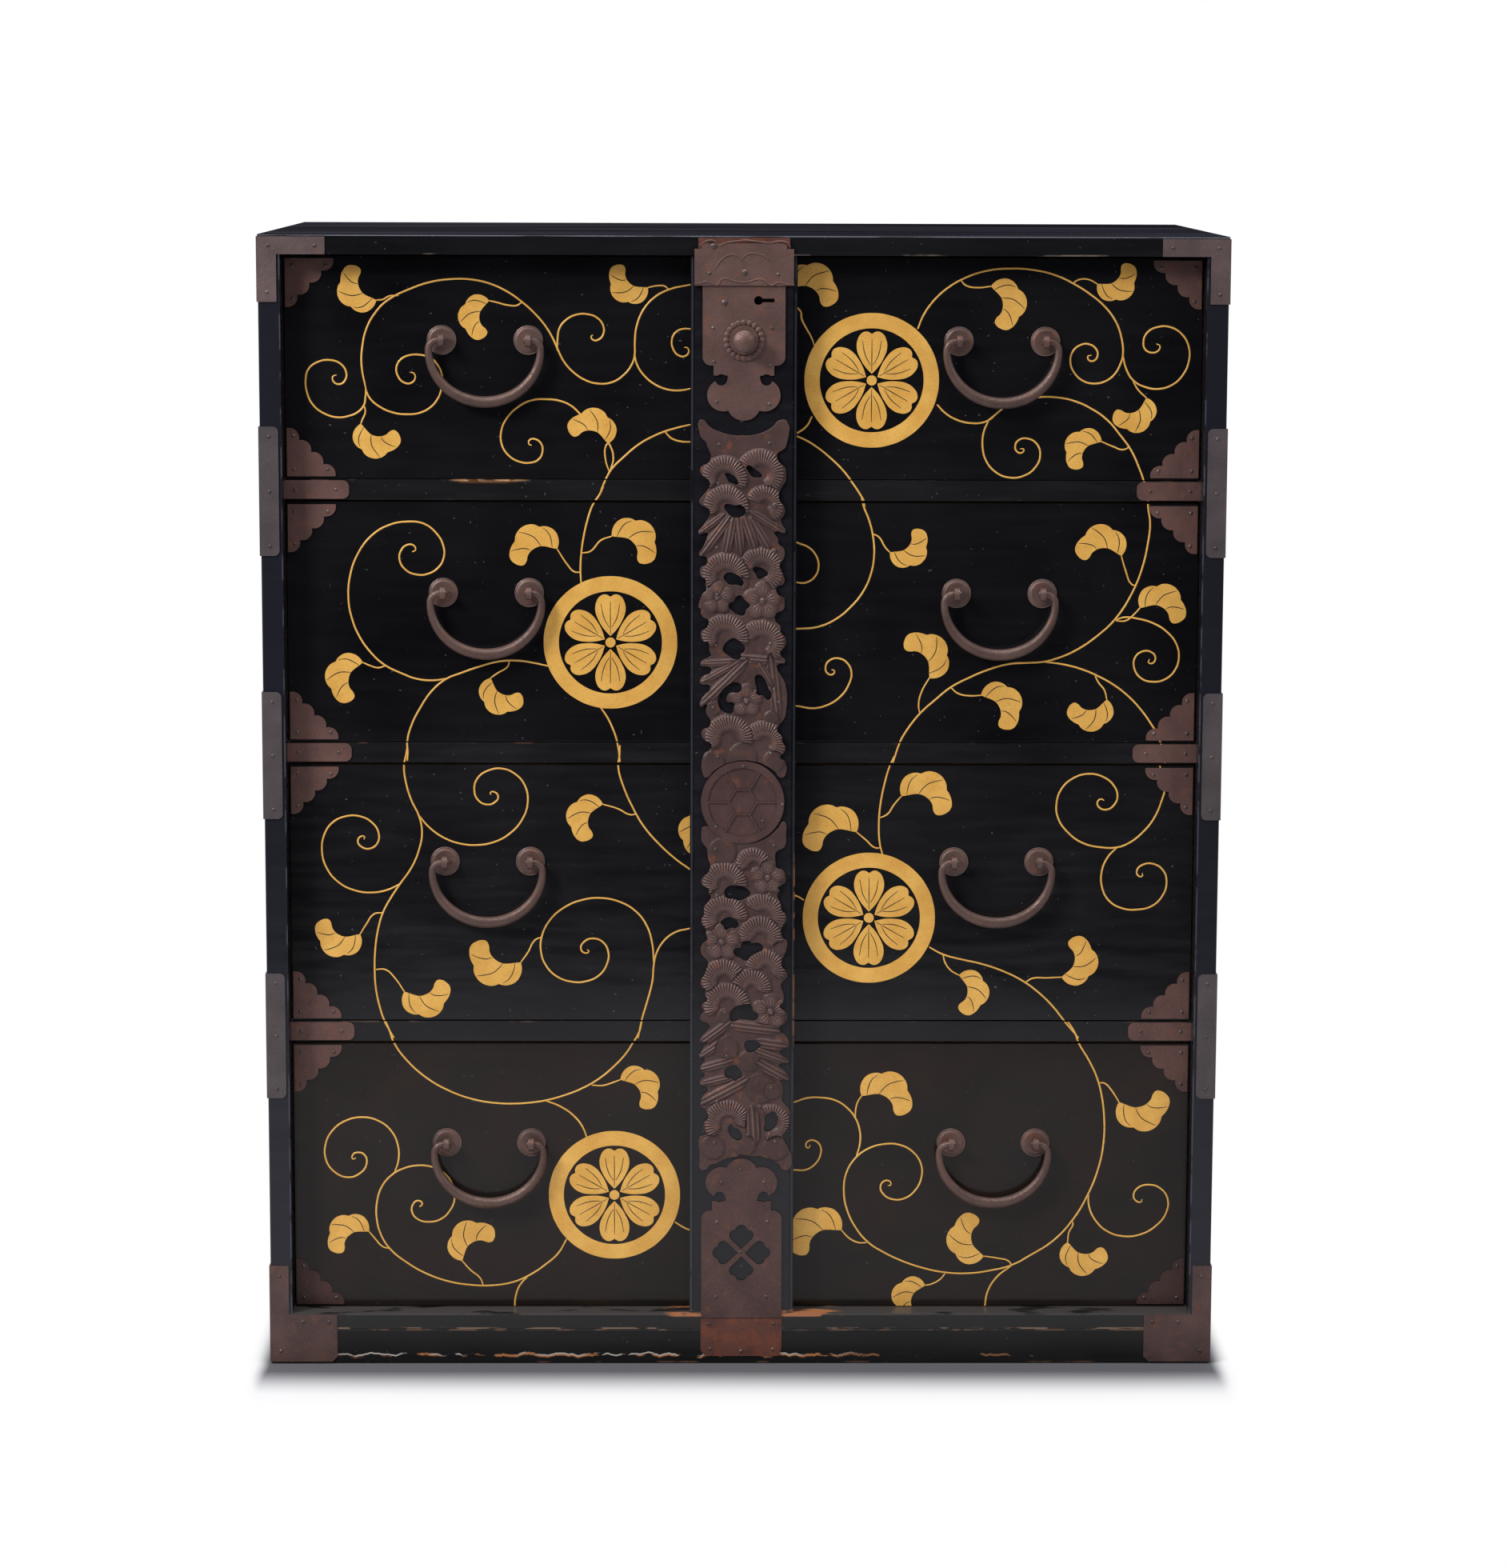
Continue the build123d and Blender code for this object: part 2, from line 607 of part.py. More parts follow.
# Drawers: a lapped front, two walls, a lower rear wall, and a bottom nailed up under the walls
for i in range(bay_count):
    name = f"drawer_{i + 1}"
    low = bay_floors[i] + drawer_foot_gap
    high = bay_floors[i] + bay_heights[i] - drawer_top_gap
    wall_low = low + drawer_bottom_t
    pivot_z = bay_floors[i] + bay_heights[i] * (1 - handle_drop_share)
    post_places = [hand * handle_offset + end * pivot_spacing / 2 for hand in (-1, 1) for end in (-1, 1)]
    with BuildPart() as front:
        with BuildSketch(front_plane(drawer_face_y)):
            span(-drawer_half, drawer_half, low, high)
        extrude(amount=-front_t)
        with BuildSketch(Plane.XY.offset(wall_low)):
            for hand in (-1, 1):
                with Locations((hand * (drawer_half - wall_t / 2), drawer_face_y + (front_t + front_lap) / 2)):
                    Rectangle(wall_t, front_t - front_lap)
        extrude(amount=high - wall_low, mode=Mode.SUBTRACT)
        with BuildSketch(front_plane(drawer_face_y)):
            with Locations([(x, pivot_z) for x in post_places]):
                Circle(post_side / math.sqrt(2) + shank_gap)
        extrude(amount=-front_t, mode=Mode.SUBTRACT)
        fillet(front.edges().filter_by(Axis.X).group_by(Axis.Y)[0], front_round)
    save(front, name + "_front")
    with BuildPart() as walls:
        with BuildSketch(Plane.XY.offset(wall_low)):
            for hand in (-1, 1):
                with Locations((hand * (drawer_half - wall_t / 2),
                                (drawer_face_y + front_lap + drawer_rear_y) / 2)):
                    Rectangle(wall_t, drawer_rear_y - drawer_face_y - front_lap)
        extrude(amount=high - wall_low)
        with BuildSketch(Plane.XY.offset(wall_low)):
            span(-drawer_half + wall_t, drawer_half - wall_t, drawer_rear_y - rear_t, drawer_rear_y)
        extrude(amount=high - rear_drop - wall_low)
    save(walls, name + "_walls")
    with BuildPart() as bottom:
        with BuildSketch(Plane.XY.offset(low)):
            span(-drawer_half, drawer_half, drawer_face_y + front_t, drawer_rear_y)
        extrude(amount=drawer_bottom_t)
    save(bottom, name + "_bottom")
    with BuildPart() as corners:
        with BuildSketch(front_plane(drawer_face_y)):
            for hand in (-1, 1):
                x = hand * (drawer_half - corner_inset)
                scalloped_corner(x, low + corner_inset + front_round, -hand, 1)
                scalloped_corner(x, high - corner_inset - front_round, -hand, -1)
        extrude(amount=trim_t)
    save(corners, name + "_corner_plates")
    eye_y = drawer_face_y - eye_reach
    with BuildPart() as mounts:
        for x in post_places:
            with BuildSketch(front_plane(drawer_face_y)):
                with Locations((x, pivot_z)):
                    Circle(handle_rose_radius)
            extrude(amount=handle_rose_t)
        outer_rims = mounts.edges().filter_by(GeomType.CIRCLE).filter_by(
            lambda e: e.radius > handle_rose_radius - shank_gap).group_by(Axis.Y)[0]
        chamfer(outer_rims, handle_rose_t * rose_bevel_share, handle_rose_t * rose_bevel_share * rose_bevel_slope)
        for x in post_places:
            with BuildSketch(Plane(origin=(x - eye_width / 2, eye_y, pivot_z), x_dir=(0, 1, 0), z_dir=(1, 0, 0))):
                Circle(eye_radius)
                Circle(bail_end_radius + eye_gap, mode=Mode.SUBTRACT)
            extrude(amount=eye_width)
            with BuildSketch(front_plane(drawer_face_y + front_t + post_tail)):
                with Locations((x, pivot_z)):
                    Rectangle(post_side, post_side)
            extrude(amount=front_t + post_tail + eye_reach - bail_end_radius - eye_gap - post_bite)
    save(mounts, name + "_handle_mounts")
    for hand, side_name in ((-1, "left"), (1, "right")):
        plane = Plane(origin=(hand * handle_offset, eye_y, pivot_z), x_dir=(1, 0, 0), z_dir=(0, -1, 0))
        with BuildPart() as bail:
            with BuildSketch(Plane(plane.origin + (-bail_half_width, 0, -bail_shoulder),
                                   x_dir=(1, 0, 0), z_dir=(0, 0, -1))):
                Circle(bail_end_radius)
            with BuildLine(plane) as arc:
                EllipticalCenterArc((0, -bail_shoulder), bail_half_width, bail_drop - bail_shoulder,
                                    start_angle=180, arc_size=180)
            curve = arc.line
            for k in range(1, bail_sections + 1):
                t = k / bail_sections
                radius = bail_end_radius + (bail_mid_radius - bail_end_radius) * math.sin(math.pi * t)
                with BuildSketch(Plane(curve @ t, z_dir=curve % t)):
                    Circle(radius)
            loft()
            for end in (-1, 1):
                with BuildSketch(Plane(plane.origin + (end * bail_half_width, 0, -bail_shoulder),
                                       x_dir=(1, 0, 0), z_dir=(0, 0, 1))):
                    Circle(bail_end_radius)
                elbow = Axis(plane.origin + (end * (bail_half_width - bail_shoulder), 0, -bail_shoulder),
                             (0, -end, 0))
                revolve(axis=elbow, revolution_arc=90)
                stub_x = end * (bail_half_width - bail_shoulder)
                with BuildSketch(Plane(plane.origin + (stub_x, 0, 0), x_dir=(0, 1, 0), z_dir=(-end, 0, 0))):
                    Circle(bail_end_radius)
                extrude(amount=bail_half_width - bail_shoulder - pivot_spacing / 2 + eye_width / 2 + bail_stub)
        save(bail, f"{name}_bail_{side_name}")

# Fittings on the case's front edges, folded round onto its sides
edge_straps = BuildPart()
for hand, side_name in ((-1, "left"), (1, "right")):
    edge_x = hand * half_width
    outer_x = hand * (half_width + trim_t)
    leg_x = hand * (half_width - edge_strap_width)

    def angle_section():
        # Plan of an angle strap: a leg on the front edge and a return on the side.
        span(min(outer_x, leg_x), max(outer_x, leg_x), front_y - trim_t, front_y)
        span(min(outer_x, edge_x), max(outer_x, edge_x), front_y - trim_t, front_y + edge_strap_return)

    with BuildPart() as top_corner:
        with BuildSketch(Plane.XY.offset(case_height - corner_arm)):
            angle_section()
        extrude(amount=corner_arm - edge_round)
        arm_x = hand * (half_width - corner_arm)
        with BuildSketch(front_plane(front_y)):
            span(min(outer_x, arm_x), max(outer_x, arm_x), top_under, case_height - edge_round)
        extrude(amount=trim_t)
    save(top_corner, f"top_corner_plate_{side_name}")
    with BuildPart() as foot_corner:
        with BuildSketch(Plane.XY.offset(floor_lift)):
            angle_section()
        extrude(amount=foot_corner_height - floor_lift)
        arm_x = hand * (half_width - foot_corner_arm)
        with BuildSketch(front_plane(front_y)):
            span(min(outer_x, arm_x), max(outer_x, arm_x), floor_lift, floor_z - corner_inset)
        extrude(amount=trim_t)
        toe = foot_corner.edges().filter_by(Axis.Y).group_by(Axis.X)[-1 if hand < 0 else 0]
        chamfer(toe.sort_by(Axis.Z)[0], foot_corner_round)
    save(foot_corner, f"foot_corner_plate_{side_name}")
    with edge_straps:
        for z in rail_floors:
            with BuildSketch(Plane.XY.offset(z + (rail_height - edge_strap_height) / 2)):
                angle_section()
            extrude(amount=edge_strap_height)

with edge_straps:
    fillet(edge_straps.edges().filter_by(Axis.Y).filter_by(
        lambda e: abs(abs(e.center().X) - half_width + edge_strap_width) < shank_gap), strap_notch)
save(edge_straps, "edge_straps")

with BuildPart() as rail_straps:
    with BuildSketch(front_plane(rail_face_y)):
        for z in rail_floors:
            for hand in (-1, 1):
                x = hand * inner_half
                end_x = hand * (inner_half - rail_strap_length)
                span(min(x, end_x), max(x, end_x), z + rail_strap_inset, z + rail_height - rail_strap_inset)
    extrude(amount=trim_t)
    fillet(rail_straps.edges().filter_by(Axis.Y).filter_by(
        lambda e: abs(e.center().X) < inner_half - rail_strap_length / 2), rail_strap_round)
save(rail_straps, "rail_straps")

with BuildPart() as striker_plate:
    with BuildSketch(front_plane(front_y)):
        span(-striker_width / 2, striker_width / 2, top_under, case_height - edge_round)
    extrude(amount=striker_t)
save(striker_plate, "striker_plate")

with BuildPart() as apron_plate:
    with BuildSketch(front_plane(front_y)):
        span(-apron_plate_width / 2, apron_plate_width / 2, apron_plate_foot,
             foot_plate_foot - plate_joint_gap)
    extrude(amount=trim_t)
    fillet(apron_plate.edges().filter_by(Axis.Y).group_by(Axis.Z)[0], apron_plate_round)
save(apron_plate, "apron_plate")
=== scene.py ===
import math

import bmesh
import bpy
import numpy as np
from mathutils import Matrix, Vector


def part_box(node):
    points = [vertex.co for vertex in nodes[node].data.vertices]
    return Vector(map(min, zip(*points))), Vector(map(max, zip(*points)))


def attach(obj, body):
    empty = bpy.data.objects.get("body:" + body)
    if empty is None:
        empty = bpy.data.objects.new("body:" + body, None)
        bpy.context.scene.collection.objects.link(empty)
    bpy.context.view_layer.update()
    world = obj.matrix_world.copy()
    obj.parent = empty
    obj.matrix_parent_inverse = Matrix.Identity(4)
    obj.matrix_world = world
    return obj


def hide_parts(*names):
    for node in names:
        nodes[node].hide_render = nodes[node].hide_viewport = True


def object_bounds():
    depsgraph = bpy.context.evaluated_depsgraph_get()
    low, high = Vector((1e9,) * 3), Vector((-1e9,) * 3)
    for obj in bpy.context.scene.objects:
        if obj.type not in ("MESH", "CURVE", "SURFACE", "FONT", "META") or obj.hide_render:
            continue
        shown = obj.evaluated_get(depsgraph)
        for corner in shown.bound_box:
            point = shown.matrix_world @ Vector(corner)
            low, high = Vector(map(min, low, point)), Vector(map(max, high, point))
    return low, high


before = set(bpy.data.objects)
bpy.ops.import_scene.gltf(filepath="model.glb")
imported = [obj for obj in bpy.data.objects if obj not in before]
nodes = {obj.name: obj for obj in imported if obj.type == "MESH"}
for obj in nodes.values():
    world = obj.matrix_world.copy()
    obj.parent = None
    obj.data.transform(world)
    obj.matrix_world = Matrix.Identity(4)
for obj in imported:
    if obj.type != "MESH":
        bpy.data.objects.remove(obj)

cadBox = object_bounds()
scene = bpy.context.scene
scene.view_settings.view_transform = "Standard"
mm = 0.001
weldMm = 0.01
drawers = [f"drawer_{number}" for number in (1, 2, 3, 4)]
rails = [f"rail_{number}" for number in (1, 2, 3)]

print("stage: camera and light")

cameraSet = {
    "place": (-0.0331, -3.8032, 1.1565),
    "turnDegrees": 0.679,        # towards the chest's right
    "tiltDegrees": 7.625,        # down
    "leanDegrees": 0.195,
    "lens": 91.02,
    "shiftUp": -0.085,
    "sensorMm": 36.0, "seesMetres": 60.0,
}
cameraData = bpy.data.cameras.new("studioCamera")
cameraData.lens = cameraSet["lens"]
cameraData.sensor_width = cameraSet["sensorMm"]
cameraData.sensor_fit = "AUTO"
cameraData.shift_y = cameraSet["shiftUp"]
cameraData.clip_end = cameraSet["seesMetres"]
camera = bpy.data.objects.new("studioCamera", cameraData)
scene.collection.objects.link(camera)
camera.matrix_world = (
    Matrix.Translation(cameraSet["place"])
    @ Matrix.Rotation(math.radians(-cameraSet["turnDegrees"]), 4, "Z")
    @ Matrix.Rotation(math.radians(90.0 - cameraSet["tiltDegrees"]), 4, "X")
    @ Matrix.Rotation(math.radians(cameraSet["leanDegrees"]), 4, "Z")
)
scene.camera = camera

# Soft boxes: place, what they face, size and watts
lampSet = {
    "softBoxLeft": {"place": (-2.7, -2.1, 2.9), "target": (0, 0, 0.5), "size": (1.0, 1.0), "watts": 158.0},
    "softBoxRight": {"place": (3.0, -2.0, 2.2), "target": (0, 0, 0.5), "size": (1.6, 1.6), "watts": 30.0},
    "softBoxAbove": {"place": (0.0, -0.9, 3.5), "target": (0, 0, 0.6), "size": (1.8, 1.2), "watts": 52.0},
}
for lampName, values in lampSet.items():
    lampData = bpy.data.lights.new(lampName, "AREA")
    lampData.shape = "RECTANGLE"
    lampData.size, lampData.size_y = values["size"]
    lampData.energy = values["watts"]
    lamp = bpy.data.objects.new(lampName, lampData)
    scene.collection.objects.link(lamp)
    lamp.location = values["place"]
    lamp.rotation_euler = (Vector(values["target"]) - Vector(values["place"])).to_track_quat("-Z", "Y").to_euler()


def linearColour(hexCode):
    parts = [int(hexCode[i:i + 2], 16) / 255 for i in (1, 3, 5)]
    return tuple(p / 12.92 if p <= 0.04045 else ((p + 0.055) / 1.055) ** 2.4 for p in parts) + (1.0,)


def addNode(tree, kind, links=None, **settings):
    node = tree.nodes.new(kind)
    for name, value in settings.items():
        setattr(node, name, value)
    for socket, value in (links or {}).items():
        if isinstance(value, bpy.types.NodeSocket):
            tree.links.new(value, node.inputs[socket])
        else:
            node.inputs[socket].default_value = value
    return node


worldSet = {
    "fill": "#a9acb2",           # light that falls on the chest from all round
    "roomFront": "#17171a",      # what gloss mirrors in front of the chest
    "backdrop": "#ffffff",
    "frontTo": -0.45, "backFrom": 0.3,       # how far round, from 0 beside the chest, the two begin
}
world = bpy.data.worlds.new("paleStudio")
scene.world = world
world.use_nodes = True
tree = world.node_tree
tree.nodes.clear()
rays = addNode(tree, "ShaderNodeLightPath")
heading = addNode(tree, "ShaderNodeTexCoord")
parts = addNode(tree, "ShaderNodeSeparateXYZ", {0: heading.outputs["Generated"]})
behind = addNode(tree, "ShaderNodeMapRange", {0: parts.outputs[1], 1: worldSet["frontTo"],
                                                 2: worldSet["backFrom"], 3: 0.0, 4: 1.0})
mirrored = addNode(tree, "ShaderNodeMix", {0: behind.outputs[0], 6: linearColour(worldSet["roomFront"]),
                                           7: linearColour(worldSet["backdrop"])}, data_type="RGBA")
shiny = addNode(tree, "ShaderNodeMath", {0: rays.outputs["Is Glossy Ray"], 1: rays.outputs["Is Transmission Ray"]},
                operation="MAXIMUM")
lit = addNode(tree, "ShaderNodeMix", {0: shiny.outputs[0], 6: linearColour(worldSet["fill"]),
                                      7: mirrored.outputs[2]}, data_type="RGBA")
shown = addNode(tree, "ShaderNodeMix", {0: rays.outputs["Is Camera Ray"], 6: lit.outputs[2],
                                        7: linearColour(worldSet["backdrop"])}, data_type="RGBA")
backing = addNode(tree, "ShaderNodeBackground", {0: shown.outputs[2], 1: 1.0})
addNode(tree, "ShaderNodeOutputWorld", {0: backing.outputs[0]})


def startMaterial(name):
    material = bpy.data.materials.new(name)
    material.use_nodes = True
    tree = material.node_tree
    tree.nodes.clear()
    shader = addNode(tree, "ShaderNodeBsdfPrincipled")
    addNode(tree, "ShaderNodeOutputMaterial", {0: shader.outputs[0]})
    spot = addNode(tree, "ShaderNodeTexCoord").outputs["Object"]
    return material, tree, shader, spot


def blotches(tree, spot, sizeMm, low, high, detail=4.0, stretch=(1, 1, 1)):
    # Cloudy mask from 0 to 1 whose patches are about sizeMm across
    place = addNode(tree, "ShaderNodeMapping", {0: spot, 3: stretch}).outputs[0]
    cloud = addNode(tree, "ShaderNodeTexNoise", {"Vector": place, "Scale": 1.0 / (sizeMm * mm), "Detail": detail})
    return addNode(tree, "ShaderNodeMapRange", {0: cloud.outputs[0], 1: low, 2: high}).outputs[0]


def blendColour(tree, share, first, second, mode="MIX"):
    pair = [linearColour(c) if isinstance(c, str) else c for c in (first, second)]
    return addNode(tree, "ShaderNodeMix", {0: share, 6: pair[0], 7: pair[1]}, data_type="RGBA",
                   blend_type=mode).outputs[2]


def within(tree, value, low, high, soft=0.0):
    # 1 between two distances in mm, else 0, over a soft edge
    rise = addNode(tree, "ShaderNodeMapRange", {0: value, 1: (low - soft) * mm, 2: low * mm + 1e-6})
    fall = addNode(tree, "ShaderNodeMapRange", {0: value, 1: high * mm - 1e-6, 2: (high + soft) * mm, 3: 1.0, 4: 0.0})
    return both(tree, rise.outputs[0], fall.outputs[0])


def both(tree, first, second, how="MULTIPLY"):
    return addNode(tree, "ShaderNodeMath", {0: first, 1: second}, operation=how, use_clamp=True).outputs[0]


def roughen(tree, shader, height, depthMm, before=None):
    links = {"Height": height, "Distance": depthMm * mm, "Strength": 1.0}
    if before:
        links["Normal"] = before
    bump = addNode(tree, "ShaderNodeBump", links)
    tree.links.new(bump.outputs[0], shader.inputs["Normal"])
    return bump.outputs[0]


print("stage: materials")

lacquerSet = {
    "streakMm": 9.0, "streakBand": (0.3, 0.72), "streakShare": 0.7, "rippleMm": 34.0, "rippleDepthMm": 0.03,
    "speckMm": 3.4, "speckBand": (0.765, 0.81), "speckStrength": 0.15,
    "hazeMm": 150.0, "hazeBand": (0.2, 1.1), "dust": "#8f8f92", "dustStrength": 0.06,
    "warmMm": 60.0, "warmBand": (0.4, 0.8), "swayMm": 16.0, "swayBand": (0.3, 0.7),
    "chipMm": 9.0, "chipEdge": 0.06, "fadeMm": 20.0, "smoother": 0.05, "rougher": 0.06,
    "bareWood": ("#8c6e4d", "#a3835f"), "grainMm": 3.0, "grainBand": (0.32, 0.7), "woodRough": 0.75,
    "wiped": ("#121116", "#2b2930"), "wipeMm": 40.0, "wipeBand": (0.3, 0.7),
}


def urushi(name, base, lift, rough, dustShare=0.5, insideBox=None, wornAndHighlightBands=(), warm=None, gloss=0.32,
           dustyTop=None):
    # Black urushi over wood: near-black, satin, with faint streaks from rubbing down and settled dust
    material, tree, shader, spot = startMaterial(name)
    axes = dict(zip("xyz", addNode(tree, "ShaderNodeSeparateXYZ", {0: spot}).outputs))
    streaks = blotches(tree, spot, lacquerSet["streakMm"], *lacquerSet["streakBand"], detail=3.0,
                       stretch=(0.12, 1, 1))
    colour = blendColour(tree, both(tree, streaks, lacquerSet["streakShare"]), base, lift)
    specks = blotches(tree, spot, lacquerSet["speckMm"], *lacquerSet["speckBand"], detail=1.0)
    haze = both(tree, blotches(tree, spot, lacquerSet["hazeMm"], *lacquerSet["hazeBand"]), dustShare)
    dust = both(tree, both(tree, specks, dustShare), haze, "ADD")
    colour = blendColour(tree, both(tree, specks, lacquerSet["speckStrength"]), colour, lacquerSet["dust"])
    colour = blendColour(tree, both(tree, dust, lacquerSet["dustStrength"]), colour, lacquerSet["dust"])
    if warm:
        colour = blendColour(tree, blotches(tree, spot, lacquerSet["warmMm"], *lacquerSet["warmBand"]), colour, warm)
    roughness = addNode(tree, "ShaderNodeMapRange", {0: streaks, 3: rough - lacquerSet["smoother"],
                                                     4: rough + lacquerSet["rougher"]}).outputs[0]
    for band in wornAndHighlightBands:       # rubbed places, and painted highlight lines on some edges: an axis and limits, and a second axis to hold them to a stretch
        height = axes[band["axis"]]
        if "wanderMm" in band:       # a ragged line, up to so far off a straight one
            sway = blotches(tree, spot, lacquerSet["swayMm"], *lacquerSet["swayBand"], stretch=(1, 0, 0))
            height = addNode(tree, "ShaderNodeMath", {0: sway, 1: band["wanderMm"] * mm, 2: height},
                             operation="MULTIPLY_ADD").outputs[0]
        place = within(tree, height, band["low"], band["high"], band.get("soft", 1.0))
        if "alongAxis" in band:
            fade = band.get("fade", lacquerSet["fadeMm"])
            place = both(tree, place, within(tree, axes[band["alongAxis"]], band["from"], band["to"], fade))
        chips = blotches(tree, spot, band.get("sizeMm", lacquerSet["chipMm"]), band["bare"],
                         band["bare"] + lacquerSet["chipEdge"], stretch=(0.3, 1, 1))
        colour = blendColour(tree, both(tree, place, chips), colour, band["colour"])
    if insideBox:
        mask = 1.0
        for axis, (low, high) in insideBox.items():
            mask = both(tree, mask, within(tree, axes[axis], low, high))
        grain = blotches(tree, spot, lacquerSet["grainMm"], *lacquerSet["grainBand"], stretch=(0.05, 0.05, 1))
        colour = blendColour(tree, mask, colour, blendColour(tree, grain, *lacquerSet["bareWood"]))
        roughness = addNode(tree, "ShaderNodeMix", {0: mask, 2: roughness, 3: lacquerSet["woodRough"]}).outputs[0]
    tree.links.new(colour, shader.inputs["Base Color"])
    tree.links.new(roughness, shader.inputs["Roughness"])
    shader.inputs["IOR"].default_value = 1.5
    shader.inputs["Specular IOR Level"].default_value = gloss
    if dustyTop:     # the top of the chest is dulled by dust and wiping, in long streaks
        lying = addNode(tree, "ShaderNodeMapRange", {0: axes["z"], 1: (dustyTop - 0.5) * mm,
                                                     2: dustyTop * mm}).outputs[0]
        streaks = blotches(tree, spot, lacquerSet["wipeMm"], *lacquerSet["wipeBand"], stretch=(0.08, 1, 1))
        wiped = blendColour(tree, streaks, *lacquerSet["wiped"])
        tree.links.new(blendColour(tree, lying, colour, wiped), shader.inputs["Base Color"])
        dull = addNode(tree, "ShaderNodeMix", {0: lying, 2: gloss, 3: 0.0}).outputs[0]
        tree.links.new(dull, shader.inputs["Specular IOR Level"])
    ripple = blotches(tree, spot, lacquerSet["rippleMm"], 0.0, 1.0, detail=2.0)
    roughen(tree, shader, ripple, lacquerSet["rippleDepthMm"])
    return material


def bothEdges(low, high, **band):
    # The same band at the left and at the right: here a painted highlight line, broken into chips
    return [{"axis": "x", "low": min(hand * low, hand * high), "high": max(hand * low, hand * high), **band}
            for hand in (1, -1)]


def shelfLine(low, high, bare, colour, **band):
    # A band at a height, of wear or of painted highlight, all along or held to a stretch
    return {"axis": "z", "low": low, "high": high, "bare": bare, "colour": colour, **band}


def heldTo(axis, start, end, **band):
    # The stretch of another axis that a band of wear or of painted highlight keeps to
    return {"alongAxis": axis, "from": start, "to": end, **band}


caseInside = {"x": (-420.3, 420.3), "y": (-178.5, 218.5), "z": (47.6, 1035.4)}
ledgeInside = {**caseInside, "z": (47.6, 60.0)}
drawerInside = {"y": (-178.0, 0.0)}
topFaceMm = 1052.7
# The case's front edges in their own tone, with thin pale lines on their inner corners: painted highlights, chipped
# where hands wore them
caseLacquer = urushi("blackUrushiCase", "#0c0c10", "#141419", 0.24, dustShare=0.8, insideBox=caseInside, gloss=0.26,
                     dustyTop=topFaceMm, wornAndHighlightBands=[
    {"axis": "y", "low": -204.5, "high": -202.4, "bare": -0.1, "soft": 0.2, "colour": "#1a1a21"},
    *bothEdges(419.2, 420.9, **heldTo("y", -204, -201, fade=1.0), bare=0.46, soft=0.3, sizeMm=30.0,
               colour="#3b3c44")])
topLacquer = urushi("blackUrushiTop", "#08080a", "#101014", 0.24, insideBox=caseInside, gloss=0.2,
                    dustyTop=topFaceMm, wornAndHighlightBands=[
    # the pale grey line along the top's upper front edge is a painted highlight, broken into chips
    shelfLine(1051.8, 1053.4, 0.42, "#44474f", **heldTo("y", -204.5, -202.2, fade=0.6), soft=0.3, sizeMm=34.0),
    shelfLine(1034.5, 1036.2, 0.56, "#5a504a", **heldTo("y", -204.5, -201.5, fade=0.8), soft=0.3, sizeMm=16.0)])
railLacquer = urushi("blackUrushiRails", "#0c0b0d", "#161517", 0.24, insideBox={"y": (-179.5, 0.0)}, wornAndHighlightBands=[
    shelfLine(826.6, 830.0, 0.42, "#4a3020", **heldTo("x", -258, -206)),
    shelfLine(828.4, 830.0, 0.44, "#a8825c", **heldTo("x", -252, -214), sizeMm=6.0),
    shelfLine(828.6, 830.0, 0.62, "#3a2a24"),
    shelfLine(585.2, 586.5, 0.60, "#3c2a22"),
    shelfLine(322.2, 323.5, 0.58, "#40302a")])
apronLacquer = urushi("blackUrushiApron", "#0b0a0b", "#151415", 0.24, gloss=0.2, wornAndHighlightBands=[
    shelfLine(9.4, 11.0, 0.44, "#9c6640", **heldTo("x", -330, 70, fade=60.0), soft=0.8, wanderMm=5.0),
    shelfLine(10.6, 11.4, 0.46, "#aaa299", **heldTo("x", -360, 60, fade=60.0), sizeMm=6.0, soft=0.5, wanderMm=5.0),
    shelfLine(9.6, 10.6, 0.56, "#7a5238", **heldTo("x", 90, 380, fade=30.0), soft=0.8, wanderMm=5.0),
    shelfLine(-1.0, 1.4, 0.56, "#5f4230", sizeMm=10.0, soft=0.6),
    shelfLine(32.0, 33.4, 0.52, "#5c4434", sizeMm=7.0)])
ledgeLacquer = urushi("blackUrushiLedge", "#121010", "#1e1c1b", 0.34, insideBox=ledgeInside, wornAndHighlightBands=[
    shelfLine(46.8, 49.0, 0.36, "#3d3a38", sizeMm=14.0),
    shelfLine(32.8, 33.8, 0.50, "#77604e"),
    shelfLine(45.4, 49.0, 0.46, "#9a6340", **heldTo("x", -62, 84, fade=12.0), sizeMm=12.0)])
drawerLacquer = urushi("blackUrushiDrawers", "#060608", "#0d0c10", 0.15, insideBox=drawerInside)
thirdDrawerLacquer = urushi("blackUrushiThirdDrawer", "#0c0b0d", "#161416", 0.16, insideBox=drawerInside)
lowDrawerLacquer = urushi("blackUrushiBottomDrawer", "#130e0b", "#1c1512", 0.17, insideBox=drawerInside,
                          warm="#241a15", gloss=0.2)
barLacquer = urushi("blackUrushiBar", "#0b0a0e", "#15151b", 0.22, wornAndHighlightBands=[
    # the pale grey lines along both edges of the bar are painted highlights on its beads, broken into chips
    *bothEdges(46.4, 47.4, bare=0.34, sizeMm=40.0, soft=0.3, colour="#34353c"),
    {"axis": "x", "low": 47.6, "high": 49.0, "bare": 0.44, "colour": "#6a4430", **heldTo("z", 320, 470),
     "sizeMm": 12.0},
    shelfLine(45.0, 50.5, 0.40, "#7a5238")])
veinLacquer = urushi("blackUrushiVeins", "#141210", "#1c1815", 0.4)


